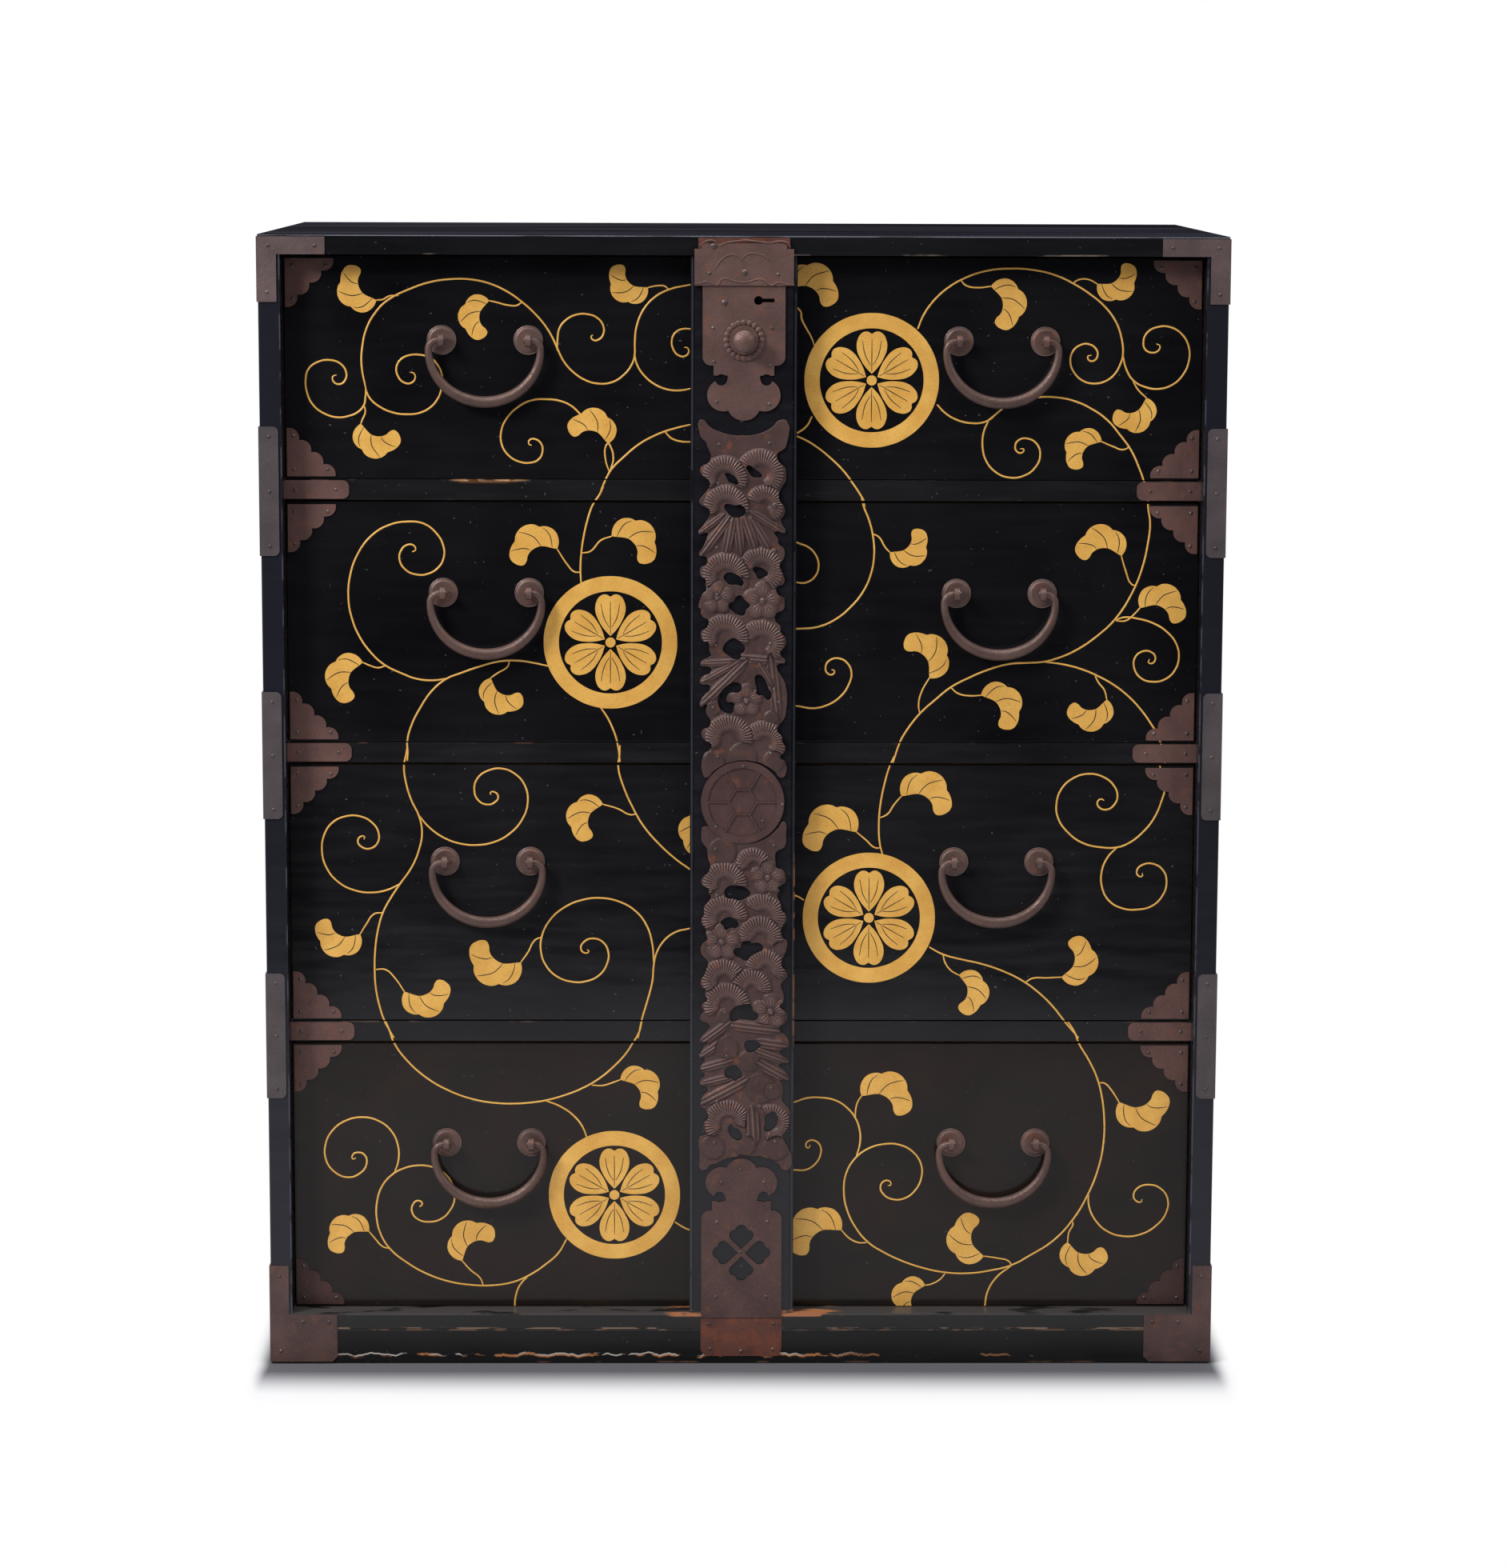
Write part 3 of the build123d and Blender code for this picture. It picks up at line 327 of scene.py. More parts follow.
def wood(name, first, second, stain, grainMm, stretch, grainTo=0.72, patchMm=110.0, patchFrom=0.4, patchShare=0.5,
         rough=0.72, depthMm=0.1):
    # Bare wood: dry and matt, straight grain along the axis that is stretched, and clouds of stain
    material, tree, shader, spot = startMaterial(name)
    grain = blotches(tree, spot, grainMm, 0.3, grainTo, stretch=stretch)
    patches = both(tree, blotches(tree, spot, patchMm, patchFrom, 0.8), patchShare)
    tree.links.new(blendColour(tree, patches, blendColour(tree, grain, first, second), stain),
                   shader.inputs["Base Color"])
    shader.inputs["Roughness"].default_value = rough
    roughen(tree, shader, grain, depthMm)
    return material


softwood = wood("stainedSoftwood", "#241b16", "#382a21", "#43352b", 5.0, (1, 1, 0.04), grainTo=0.7, patchMm=90.0,
                patchFrom=0.45, patchShare=1.0, rough=0.68, depthMm=0.12)
paulowniaDeep = wood("paulowniaAlongDepth", "#9a7d5b", "#b89b76", "#8c6e50", 3.6, (1, 0.04, 1))
paulowniaWide = wood("paulowniaAlongWidth", "#9a7d5b", "#b89b76", "#8c6e50", 3.6, (0.04, 1, 1))

ironSet = {
    "patchMm": 30.0, "patchBand": (0.32, 0.7), "rustMm": 9.0, "rustSpan": 0.16, "rustShare": 0.7,
    "pitMm": 1.3, "pitBand": (0.3, 0.7), "pitDepthMm": 0.12, "pits": "#1d1818", "pitShare": 0.35,
    "dentMm": 8.0, "dentBand": (0.2, 0.8), "dentDepthMm": 0.25, "smoother": 0.1, "rougher": 0.14,
    "sootAndShade": "#1f1514", "sootAndShadeBand": (0.05, 0.55), "sootAndShadeShare": 0.8,
    "rubbedAndHighlight": "#846860", "rubbedAndHighlightBand": (0.66, 1.0), "rubbedAndHighlightShare": 0.5,
    "ledgeShadow": "#2a191a", "ledgeShadowShare": 0.62, "ledgeShadowEdgeMm": 20.0,
}


def russetIron(name, base, lift, rust, rustFrom, rough=0.52, metallic=0.35, chased=False, paintedShadowBelow=None):
    # Hand-forged iron, browned: matt oxide skin with darker and redder clouds and a fine pitted grain
    material, tree, shader, spot = startMaterial(name)
    tone = blendColour(tree, blotches(tree, spot, ironSet["patchMm"], *ironSet["patchBand"]), base, lift)
    bloom = both(tree, blotches(tree, spot, ironSet["rustMm"], rustFrom, rustFrom + ironSet["rustSpan"], detail=6.0),
                 ironSet["rustShare"])
    tone = blendColour(tree, bloom, tone, rust)
    pits = blotches(tree, spot, ironSet["pitMm"], *ironSet["pitBand"], detail=3.0)
    tone = blendColour(tree, both(tree, pits, ironSet["pitShare"]), tone, ironSet["pits"])
    if chased:       # painted shade with soot darkens the chased creases, and a painted highlight with rubbing makes the high places paler
        crease = addNode(tree, "ShaderNodeAttribute", attribute_name="chasing").outputs["Fac"]
        low, high = ironSet["sootAndShadeBand"]
        creaseShadeShare = addNode(tree, "ShaderNodeMapRange", {0: crease, 1: low, 2: high, 3: ironSet["sootAndShadeShare"],
                                                     4: 0.0}).outputs[0]
        tone = blendColour(tree, creaseShadeShare, tone, ironSet["sootAndShade"])
        low, high = ironSet["rubbedAndHighlightBand"]
        rubbedAndHighlight = addNode(tree, "ShaderNodeMapRange", {0: crease, 1: low, 2: high, 3: 0.0,
                                                      4: ironSet["rubbedAndHighlightShare"]}).outputs[0]
        tone = blendColour(tree, rubbedAndHighlight, tone, ironSet["rubbedAndHighlight"])
    if paintedShadowBelow:    # painted shadow from the ledge: the lowest fittings, near the floor, are darkened below this height
        height = addNode(tree, "ShaderNodeSeparateXYZ", {0: spot}).outputs[2]
        edge = ironSet["ledgeShadowEdgeMm"]
        dark = addNode(tree, "ShaderNodeMapRange", {0: height, 1: (paintedShadowBelow - edge) * mm, 2: (paintedShadowBelow + edge) * mm,
                                                    3: ironSet["ledgeShadowShare"], 4: 0.0}).outputs[0]
        tone = blendColour(tree, dark, tone, ironSet["ledgeShadow"])
    tree.links.new(tone, shader.inputs["Base Color"])
    shine = addNode(tree, "ShaderNodeMapRange", {0: pits, 3: rough - ironSet["smoother"],
                                                 4: rough + ironSet["rougher"]}).outputs[0]
    tree.links.new(shine, shader.inputs["Roughness"])
    shader.inputs["Metallic"].default_value = metallic
    dents = blotches(tree, spot, ironSet["dentMm"], *ironSet["dentBand"], detail=1.0)
    first = roughen(tree, shader, dents, ironSet["dentDepthMm"])
    roughen(tree, shader, pits, ironSet["pitDepthMm"], first)
    return material


plateIron = russetIron("russetIronPlates", "#5b433e", "#6d504a", "#7e4d3b", 0.56)
footPlateIron = russetIron("russetIronFootPlate", "#4a3431", "#5a413c", "#6e4434", 0.56)
openworkIron = russetIron("russetIronOpenwork", "#46312e", "#573f3b", "#80492f", 0.57, rough=0.5, chased=True)
medallionIron = russetIron("russetIronMedallion", "#472f2d", "#5a403c", "#744534", 0.60, rough=0.5)
apronIron = russetIron("russetIronApronPlate", "#56322a", "#6c4033", "#7c432b", 0.47)
cornerIron = russetIron("russetIronDrawerCorners", "#5a3f3a", "#6e4e47", "#75483a", 0.55)
# the bottom drawer's corner plates get a painted shadow below 115 mm
lowCornerIron = russetIron("russetIronLowCorners", "#5a3f3a", "#6e4e47", "#75483a", 0.55, paintedShadowBelow=115.0)
strapIron = russetIron("darkIronStraps", "#494244", "#5a5053", "#5c4640", 0.60)
footCornerIron = russetIron("russetIronFootCorners", "#4c3936", "#604843", "#6e4636", 0.55)
topCornerIron = russetIron("darkIronTopCorners", "#554545", "#685554", "#6a4a40", 0.60)
bailIron = russetIron("forgedIronBails", "#543f39", "#69514a", "#6f4837", 0.58, rough=0.46, metallic=0.4)
mountIron = russetIron("russetIronRoses", "#553f3a", "#6c534c", "#74493a", 0.50, rough=0.5)
knobIron = russetIron("russetIronKnob", "#5c443e", "#74574f", "#754b3b", 0.58, rough=0.48, metallic=0.35)
lockIron = russetIron("plainIronLock", "#35302e", "#45403c", "#4a3a30", 0.60)
nailIron = russetIron("forgedNailIron", "#4a403e", "#6e625e", "#6b4a3a", 0.62, rough=0.4, metallic=0.55)

# Sprinkled gold lacquer: warm yellow gold powder under clear lacquer, satin, thinner in rubbed places
goldSet = {"powder": ("#cb953f", "#deac54"), "wearMm": 26.0, "wearBand": (0.3, 0.72), "thin": "#9a6a2c",
           "thinShare": 0.45, "grainMm": 0.9, "grainBand": (0.52, 0.72), "grainDepthMm": 0.03, "metallic": 0.15,
           "rough": 0.42}
goldLacquer, tree, shader, spot = startMaterial("sprinkledGoldLacquer")
tone = blendColour(tree, blotches(tree, spot, goldSet["wearMm"], *goldSet["wearBand"]), *goldSet["powder"])
grains = blotches(tree, spot, goldSet["grainMm"], *goldSet["grainBand"], detail=2.0)
tone = blendColour(tree, both(tree, grains, goldSet["thinShare"]), tone, goldSet["thin"])
tree.links.new(tone, shader.inputs["Base Color"])
shader.inputs["Metallic"].default_value = goldSet["metallic"]
shader.inputs["Roughness"].default_value = goldSet["rough"]
roughen(tree, shader, grains, goldSet["grainDepthMm"])

nodesOfLook = [
    (caseLacquer, ["side_left", "side_right"]), (topLacquer, ["top_board"]), (ledgeLacquer, ["bottom_board"]),
    (apronLacquer, ["front_apron"]), (softwood, ["back_panel"]), (railLacquer, rails),
    (paulowniaWide, ["dust_board_1", "dust_board_2", "dust_board_3"]), (strapIron, ["edge_straps"]),
    (topCornerIron, ["top_corner_plate_left", "top_corner_plate_right"]), (cornerIron, ["rail_straps"]),
    (footCornerIron, ["foot_corner_plate_left", "foot_corner_plate_right"]), (barLacquer, ["bar_board"]),
    (apronIron, ["apron_plate", "striker_plate"]), (plateIron, ["lock_plate", "hasp_plate", "knob_rose"]),
    (footPlateIron, ["bar_foot_plate"]), (medallionIron, ["bar_medallion"]), (knobIron, ["knob"]),
    (openworkIron, ["openwork_upper", "openwork_lower"]), (lockIron, ["lock_case", "lock_bolt"]),
]
frontLooks = [drawerLacquer, drawerLacquer, thirdDrawerLacquer, lowDrawerLacquer]
cornerLooks = [cornerIron, cornerIron, cornerIron, lowCornerIron]
for drawer, frontLook, cornerLook in zip(drawers, frontLooks, cornerLooks):
    nodesOfLook += [
        (frontLook, [f"{drawer}_front"]), (cornerLook, [f"{drawer}_corner_plates"]),
        (paulowniaDeep, [f"{drawer}_walls"]), (paulowniaWide, [f"{drawer}_bottom"]),
        (mountIron, [f"{drawer}_handle_mounts"]), (bailIron, [f"{drawer}_bail_left", f"{drawer}_bail_right"]),
    ]
for material, names in nodesOfLook:
    for name in names:
        if not nodes[name].material_slots:
            nodes[name].data.materials.append(material)
        for place in nodes[name].material_slots:
            place.material = material

print("stage: new pieces")


def addPiece(name, bm, material, body, sharpDegrees=40.0):
    bmesh.ops.remove_doubles(bm, verts=bm.verts, dist=weldMm * mm)
    bmesh.ops.recalc_face_normals(bm, faces=bm.faces)
    mesh = bpy.data.meshes.new(name)
    bm.to_mesh(mesh)
    bm.free()
    mesh.materials.append(material)
    for face in mesh.polygons:
        face.use_smooth = True
    mesh.set_sharp_from_angle(angle=math.radians(sharpDegrees))
    piece = bpy.data.objects.new(name, mesh)
    scene.collection.objects.link(piece)
    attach(piece, body)
    return piece


def curveMesh(name, lines, dimensions, closed, **settings):
    # Lines of given points, in mm, as one smooth curve turned into a mesh
    curve = bpy.data.curves.new(name, "CURVE")
    curve.dimensions = dimensions
    for key, value in settings.items():
        setattr(curve, key, value)
    for line in lines:
        spline = curve.splines.new("BEZIER")
        spline.bezier_points.add(len(line["points"]) - 1)
        spline.use_cyclic_u = closed
        last = len(line["points"]) - 1
        for index, (point, spot) in enumerate(zip(spline.bezier_points, line["points"])):
            across, up = spot[0] * mm, spot[1] * mm
            point.co = (across, up, 0.0)
            sharp = index in line.get("notches", ())
            point.handle_left_type = point.handle_right_type = "VECTOR" if sharp else "AUTO"
            if not closed:
                curl = min(1.0, line.get("curl", 1.0) + (last - index) / vineSet["curlPoints"])
                point.radius = curl * (line.get("taper", 0.6) if index in (0, last) else 1.0)
    holder = bpy.data.objects.new(name, curve)
    scene.collection.objects.link(holder)
    mesh = bpy.data.meshes.new_from_object(holder)
    bpy.data.objects.remove(holder)
    bpy.data.curves.remove(curve)
    bm = bmesh.new()
    bm.from_mesh(mesh)
    bpy.data.meshes.remove(mesh)
    bmesh.ops.transform(bm, matrix=Matrix.Rotation(math.radians(90.0), 4, "X"), verts=bm.verts)
    return bm


print("stage: gold vine")

# How the photograph maps onto the drawers' front plane
photoPlane = {"enlarged": 3.0154, "pixelsPerMm": 1.3426, "axisPixel": 889.0, "axisX": -30.0, "topPixel": 98.0,
              "topZ": 1197.0, "leanShare": 0.01, "leanPixel": 333.0, "height": 1053.0}


def faceSpot(corner, spot):
    pixelX = corner[0] + spot[0] / photoPlane["enlarged"]
    pixelY = corner[1] + spot[1] / photoPlane["enlarged"]
    z = photoPlane["topZ"] - (pixelY - photoPlane["topPixel"]) / photoPlane["pixelsPerMm"]
    pixelX += photoPlane["leanShare"] * (pixelX - photoPlane["leanPixel"]) * (1 - z / photoPlane["height"])
    return photoPlane["axisX"] + (pixelX - photoPlane["axisPixel"]) / photoPlane["pixelsPerMm"], z


# Each half front, read off an enlarged view: its corner in the photograph, vine strokes, and leaves as
# stem joint, tip lobe, hand, and the stalk's own points
vineHalves = {
    "topLeft": {"corner": (360, 310), "strokes": [
        [(320, 515), (305, 430), (308, 360), (325, 290), (360, 230), (400, 190), (500, 140), (570, 118), (640, 109),
         (700, 109), (770, 122), (840, 152), (895, 190), (950, 240), (990, 290), (1015, 335), (1030, 370),
         (1050, 410), (1085, 450), (1130, 480), (1180, 493), (1230, 487), (1270, 462), (1300, 425), (1312, 390),
         (1313, 340), (1320, 280), (1345, 220), (1385, 175), (1440, 145), (1520, 127)],
        [(1312, 385), (1320, 420), (1345, 460), (1390, 497), (1440, 515), (1480, 517), (1520, 510)],
        [(1027, 370), (1028, 330), (1035, 290), (1060, 258), (1100, 238), (1140, 237), (1175, 250), (1197, 280),
         (1197, 310), (1180, 330), (1160, 332), (1152, 320), (1158, 313)],
        [(1520, 290), (1490, 290), (1465, 302), (1450, 330), (1455, 365), (1475, 388), (1500, 390), (1512, 375),
         (1507, 360), (1495, 358)],
        [(320, 515), (318, 545), (312, 575), (290, 600), (255, 615), (215, 620), (170, 608), (125, 575), (103, 530),
         (98, 480), (110, 440), (145, 415), (185, 408), (225, 420), (247, 450), (245, 480), (225, 497), (203, 490),
         (198, 470), (212, 463)],
        [(318, 515), (335, 550), (370, 580), (420, 602), (470, 608), (520, 602), (560, 580), (585, 550), (598, 515),
         (600, 460), (585, 425), (560, 400), (520, 388), (480, 390), (450, 405), (433, 435), (440, 470), (460, 490),
         (485, 493), (502, 475), (498, 457), (483, 452)],
        [(1222, 810), (1232, 770), (1220, 722), (1165, 650), (1110, 605), (1080, 577), (1040, 558), (985, 551),
         (930, 555), (880, 580), (840, 620), (818, 670), (820, 720), (845, 760), (885, 783), (920, 787), (955, 775),
         (970, 745), (965, 715), (940, 698), (922, 703), (920, 717), (930, 722)],
        [(1180, 905), (1200, 855), (1225, 810), (1270, 765), (1330, 715), (1380, 687), (1420, 670), (1470, 655),
         (1520, 643)],
        [(1425, 672), (1445, 693), (1480, 706), (1520, 708)],
    ], "leaves": [
        ((362, 187), (272, 85), 1, [(443, 170), (410, 172), (385, 185)]),
        ((777, 188), (745, 285), -1, [(895, 195), (880, 205), (850, 205), (800, 193)]),
        ((1362, 138), (1250, 80), 1, [(1440, 147), (1425, 133), (1400, 131)]),
        ((300, 643), (420, 700), -1, [(312, 572), (317, 600), (305, 630)]),
        ((1212, 715), (1090, 655), -1, [(1215, 815), (1203, 775), (1205, 722)]),
    ]},
    "topRight": {"corner": (980, 310), "strokes": [
        [(488, 287), (510, 235), (550, 180), (600, 135), (660, 100), (740, 73), (830, 64), (920, 70), (1000, 90),
         (1060, 118), (1120, 155), (1180, 205), (1220, 260), (1240, 315), (1247, 380), (1240, 410), (1215, 455),
         (1180, 480), (1140, 488), (1100, 478), (1065, 445), (1052, 405), (1062, 368), (1090, 345), (1120, 342),
         (1147, 360), (1153, 385), (1140, 403), (1122, 402), (1117, 388), (1130, 383)],
        [(1247, 385), (1258, 430), (1285, 475), (1330, 500), (1380, 507), (1430, 492), (1470, 455), (1492, 400),
         (1490, 350), (1465, 305), (1420, 278), (1375, 278), (1337, 298), (1322, 335), (1330, 362), (1355, 373),
         (1378, 365), (1383, 348), (1370, 340)],
        [(560, 567), (590, 598), (630, 622), (680, 635), (730, 633), (755, 622), (780, 600), (815, 573), (880, 548),
         (945, 538), (1010, 540), (1070, 553), (1130, 580), (1190, 622), (1240, 680), (1280, 735), (1310, 800),
         (1328, 850), (1342, 915), (1347, 960)],
        [(750, 628), (733, 670), (729, 720), (740, 770), (775, 815), (830, 838), (885, 830), (925, 800), (943, 755),
         (930, 712), (895, 692), (865, 697), (850, 720), (858, 742), (875, 745), (882, 733), (868, 730)],
        [(-95, 175), (-20, 190), (30, 205), (55, 225), (58, 250), (75, 285), (95, 320), (105, 348)],
        [(97, 612), (80, 645), (52, 668), (0, 690), (-110, 706), (-200, 708), (-345, 708)],
        [(-345, 643), (-200, 640), (-60, 660), (52, 690), (110, 722), (170, 770), (215, 815), (245, 855), (275, 900),
         (290, 928), (292, 960)],
    ], "leaves": [
        ((10, 140), (160, 172), 1, [(-95, 175), (-60, 160), (-20, 148)]),
        ((757, 130), (808, 262), 1, [(645, 107), (665, 127), (710, 135)]),
        ((1150, 120), (1265, 70), -1, [(1060, 118), (1080, 105), (1115, 103)]),
        ((1335, 540), (1248, 605), 1, [(1285, 478), (1300, 505), (1318, 525)]),
        ((1170, 703), (1075, 780), -1, [(1270, 725), (1250, 733), (1215, 722)]),
    ]},
    "secondLeft": {"corner": (360, 610), "strokes": [
        [(1195, -30), (1180, 0), (1155, 38), (1135, 95), (1120, 160), (1112, 215), (1108, 280), (1110, 328)],
        [(985, 642), (930, 630), (870, 622), (800, 626), (730, 645), (660, 670), (610, 690), (555, 735), (510, 800),
         (475, 870), (460, 930), (462, 965), (460, 1000)],
        [(610, 690), (560, 697), (500, 692), (440, 670), (380, 640), (330, 595), (285, 530), (258, 460), (247, 390),
         (255, 300), (285, 220), (335, 155), (400, 115), (470, 102), (530, 110), (575, 145), (600, 190), (602, 235),
         (580, 275), (540, 298), (500, 300), (460, 282), (438, 245), (445, 208), (470, 188), (492, 192), (497, 208),
         (485, 215)],
        [(1178, 795), (1205, 835), (1228, 885), (1242, 930), (1252, 1003)],
    ], "leaves": [
        ((1022, 203), (878, 232), -1, [(1105, 290), (1085, 288), (1060, 262)]),
        ((1225, 155), (1353, 228), 1, [(1115, 218), (1145, 212), (1185, 170)]),
        ((298, 630), (230, 755), -1, [(380, 643), (355, 650), (325, 642)]),
        ((772, 688), (868, 775), -1, [(842, 625), (835, 645), (800, 668)]),
    ]},
    "secondRight": {"corner": (980, 610), "strokes": [
        [(280, 0), (288, 38), (310, 95), (325, 160), (328, 230), (315, 300), (285, 365), (240, 420), (185, 465),
         (120, 493), (48, 500), (-40, 500), (-150, 520)],
        [(-60, 150), (0, 162), (48, 180), (85, 195), (112, 225), (122, 265), (108, 305), (75, 327), (48, 327),
         (20, 318), (14, 300)],
        [(-345, 770), (-200, 765), (-80, 780), (45, 792), (100, 800), (155, 788), (205, 755), (235, 710), (245, 665),
         (230, 630), (200, 612), (165, 618), (148, 645), (158, 670), (178, 670), (180, 657), (170, 655)],
        [(1343, 0), (1345, 43), (1353, 100), (1345, 180), (1325, 270), (1290, 360), (1228, 460), (1160, 525),
         (1080, 580), (1010, 610), (960, 623), (900, 627), (830, 632), (750, 655), (680, 685), (615, 720), (560, 765),
         (500, 820), (450, 885), (425, 930), (400, 1005)],
        [(960, 623), (1030, 632), (1100, 650), (1160, 675), (1220, 708), (1280, 755), (1330, 810), (1365, 860),
         (1385, 893), (1405, 950), (1417, 1010)],
        [(1228, 465), (1260, 455), (1310, 460), (1370, 478), (1420, 510), (1455, 555), (1465, 605), (1450, 655),
         (1415, 688), (1370, 698), (1325, 685), (1298, 645), (1302, 605), (1330, 583), (1360, 585), (1377, 605),
         (1368, 627), (1352, 625), (1355, 612)],
    ], "leaves": [
        ((387, 213), (495, 150), -1, [(325, 145), (345, 155), (370, 195)]),
        ((1247, 225), (1105, 205), -1, [(1303, 337), (1285, 330), (1265, 285)]),
        ((1318, 420), (1458, 445), 1, [(1228, 468), (1265, 468), (1290, 450)]),
        ((535, 685), (470, 550), -1, [(500, 817), (495, 790), (505, 740)]),
        ((728, 750), (828, 852), 1, [(615, 720), (640, 742), (685, 752)]),
        ((1197, 765), (1075, 810), 1, [(1153, 677), (1165, 700), (1188, 730)]),
    ]},
    "thirdLeft": {"corner": (360, 935), "strokes": [
        [(460, -30), (455, 0), (447, 40), (455, 110), (475, 175), (500, 228), (512, 290), (500, 360), (470, 430),
         (428, 490), (395, 540), (365, 595), (345, 660), (333, 740), (330, 820), (335, 900), (350, 970), (362, 1008),
         (400, 1080)],
        [(500, 228), (540, 275), (600, 317), (660, 337), (720, 341), (780, 330), (840, 297), (885, 245), (907, 180),
         (897, 115), (860, 70), (810, 50), (760, 58), (720, 88), (708, 130), (722, 170), (755, 187), (785, 178),
         (797, 158), (785, 140), (768, 142), (770, 150)],
        [(428, 490), (380, 513), (320, 523), (260, 515), (200, 485), (155, 430), (138, 365), (148, 300), (180, 255),
         (230, 232), (280, 232), (325, 255), (350, 295), (345, 335), (318, 355), (288, 350), (272, 328), (282, 310),
         (297, 310), (295, 320)],
        [(1252, -40), (1250, 0), (1245, 40), (1265, 120), (1300, 200), (1340, 270), (1400, 340), (1460, 395),
         (1508, 430), (1590, 485), (1640, 520)],
        [(1375, 790), (1370, 720), (1350, 650), (1310, 595), (1250, 558), (1180, 543), (1110, 550), (1040, 580),
         (985, 630), (955, 695), (953, 750), (970, 800), (1010, 843), (1070, 865), (1120, 863), (1170, 840),
         (1200, 795), (1205, 750), (1185, 712), (1150, 698), (1118, 708), (1102, 735), (1115, 753), (1132, 748),
         (1125, 740)],
        [(1640, 640), (1570, 640), (1508, 660), (1460, 672), (1415, 705), (1385, 755), (1375, 800), (1370, 860),
         (1350, 940), (1330, 1008), (1315, 1080)],
    ], "leaves": [
        ((1187, 185), (1115, 300), -1, [(1310, 222), (1290, 225), (1245, 203)]),
        ((1602, 240), (1530, 350), -1, [(1640, 180), (1625, 200)]),
        ((277, 682), (140, 655), 1, [(360, 600), (330, 605), (300, 645)]),
        ((440, 903), (582, 890), -1, [(335, 818), (370, 818), (405, 850)]),
        ((877, 790), (722, 740), 1, [(955, 693), (930, 705), (905, 750)]),
    ]},
    "thirdRight": {"corner": (980, 935), "strokes": [
        [(405, 0), (387, 42), (368, 110), (353, 190), (348, 270), (352, 335), (362, 375)],
        [(1395, 30), (1418, 110), (1405, 170), (1375, 240), (1330, 295), (1285, 330), (1240, 347), (1180, 347),
         (1110, 330), (1055, 290), (1018, 235), (1012, 180), (1030, 125), (1075, 83), (1130, 67), (1185, 78),
         (1225, 110), (1240, 150), (1228, 185), (1200, 203), (1172, 195), (1165, 175), (1178, 163), (1190, 168)],
        [(1240, 347), (1205, 385), (1183, 440), (1185, 500), (1210, 550), (1260, 580), (1320, 585), (1375, 570),
         (1413, 530), (1427, 480), (1415, 437), (1380, 411), (1340, 412), (1315, 435), (1320, 455), (1335, 457),
         (1335, 445)],
        [(538, 730), (590, 758), (650, 775), (730, 793), (810, 820), (890, 860), (950, 905), (1005, 960),
         (1042, 1008), (1100, 1078)],
        [(-300, 430), (-160, 480), (-40, 520), (42, 535), (68, 550)],
    ], "leaves": [
        ((432, 153), (585, 190), 1, [(353, 235), (380, 222), (405, 185)]),
        ((265, 290), (100, 325), -1, [(353, 350), (335, 350), (300, 320)]),
        ((650, 838), (680, 965), 1, [(590, 760), (598, 790), (620, 820)]),
        ((1035, 845), (1095, 715), -1, [(903, 863), (925, 850), (980, 848)]),
    ]},
    "bottomLeft": {"corner": (360, 1285), "strokes": [
        [(370, -40), (385, 0), (400, 45), (445, 110), (520, 180), (600, 228), (690, 262), (780, 278), (860, 280),
         (920, 275), (965, 268), (1040, 247), (1110, 218), (1170, 182), (1230, 130), (1270, 85), (1295, 45),
         (1320, 0), (1330, -40)],
        [(965, 268), (1020, 290), (1070, 325), (1105, 370), (1122, 415)],
        [(397, 548), (412, 500), (410, 440), (385, 385), (340, 348), (280, 333), (215, 347), (165, 385), (138, 440),
         (140, 500), (170, 545), (220, 567), (265, 553), (292, 515), (285, 480), (260, 470), (240, 480), (240, 495),
         (252, 492)],
        [(490, 682), (500, 670), (485, 658), (465, 672), (462, 705), (485, 732), (525, 741), (570, 730), (605, 695),
         (622, 650), (612, 590), (580, 548), (540, 527), (480, 521), (430, 533), (390, 555), (350, 600), (330, 660),
         (328, 730), (345, 795), (380, 850), (440, 900), (510, 942), (600, 975), (680, 988), (760, 990), (840, 977),
         (905, 948), (960, 910), (1010, 865), (1043, 808)],
        [(895, 955), (865, 990), (850, 1030), (846, 1075), (850, 1110)],
        [(1452, 742), (1480, 760), (1500, 770), (1580, 790)],
    ], "leaves": [
        ((1248, 187), (1352, 275), 1, [(1140, 208), (1180, 210), (1215, 200)]),
        ((298, 778), (175, 835), -1, [(375, 845), (350, 838), (320, 805)]),
        ((648, 893), (745, 785), 1, [(727, 988), (715, 960), (680, 930)]),
    ]},
    "bottomRight": {"corner": (980, 1285), "strokes": [
        [(1060, -40), (1085, 0), (1102, 45), (1140, 110), (1172, 180), (1190, 250), (1200, 340), (1198, 430),
         (1182, 520), (1142, 630), (1082, 735), (1010, 815), (930, 868), (850, 912), (780, 930), (700, 942),
         (610, 940), (520, 922), (430, 890), (370, 860), (310, 820), (265, 765), (230, 690), (219, 620), (228, 550),
         (262, 492), (310, 455), (370, 437), (430, 440), (480, 468), (510, 515), (512, 565), (490, 615), (450, 648),
         (405, 653), (368, 632), (357, 603), (370, 582), (392, 582), (395, 597), (385, 598)],
        [(-190, 360), (-60, 300), (37, 272), (80, 258), (130, 256), (190, 268), (235, 300), (262, 335), (278, 380),
         (280, 430), (265, 490)],
        [(-60, 530), (37, 538), (75, 537), (110, 515), (130, 480), (130, 445), (108, 423), (85, 425), (75, 442),
         (85, 452), (92, 440)],
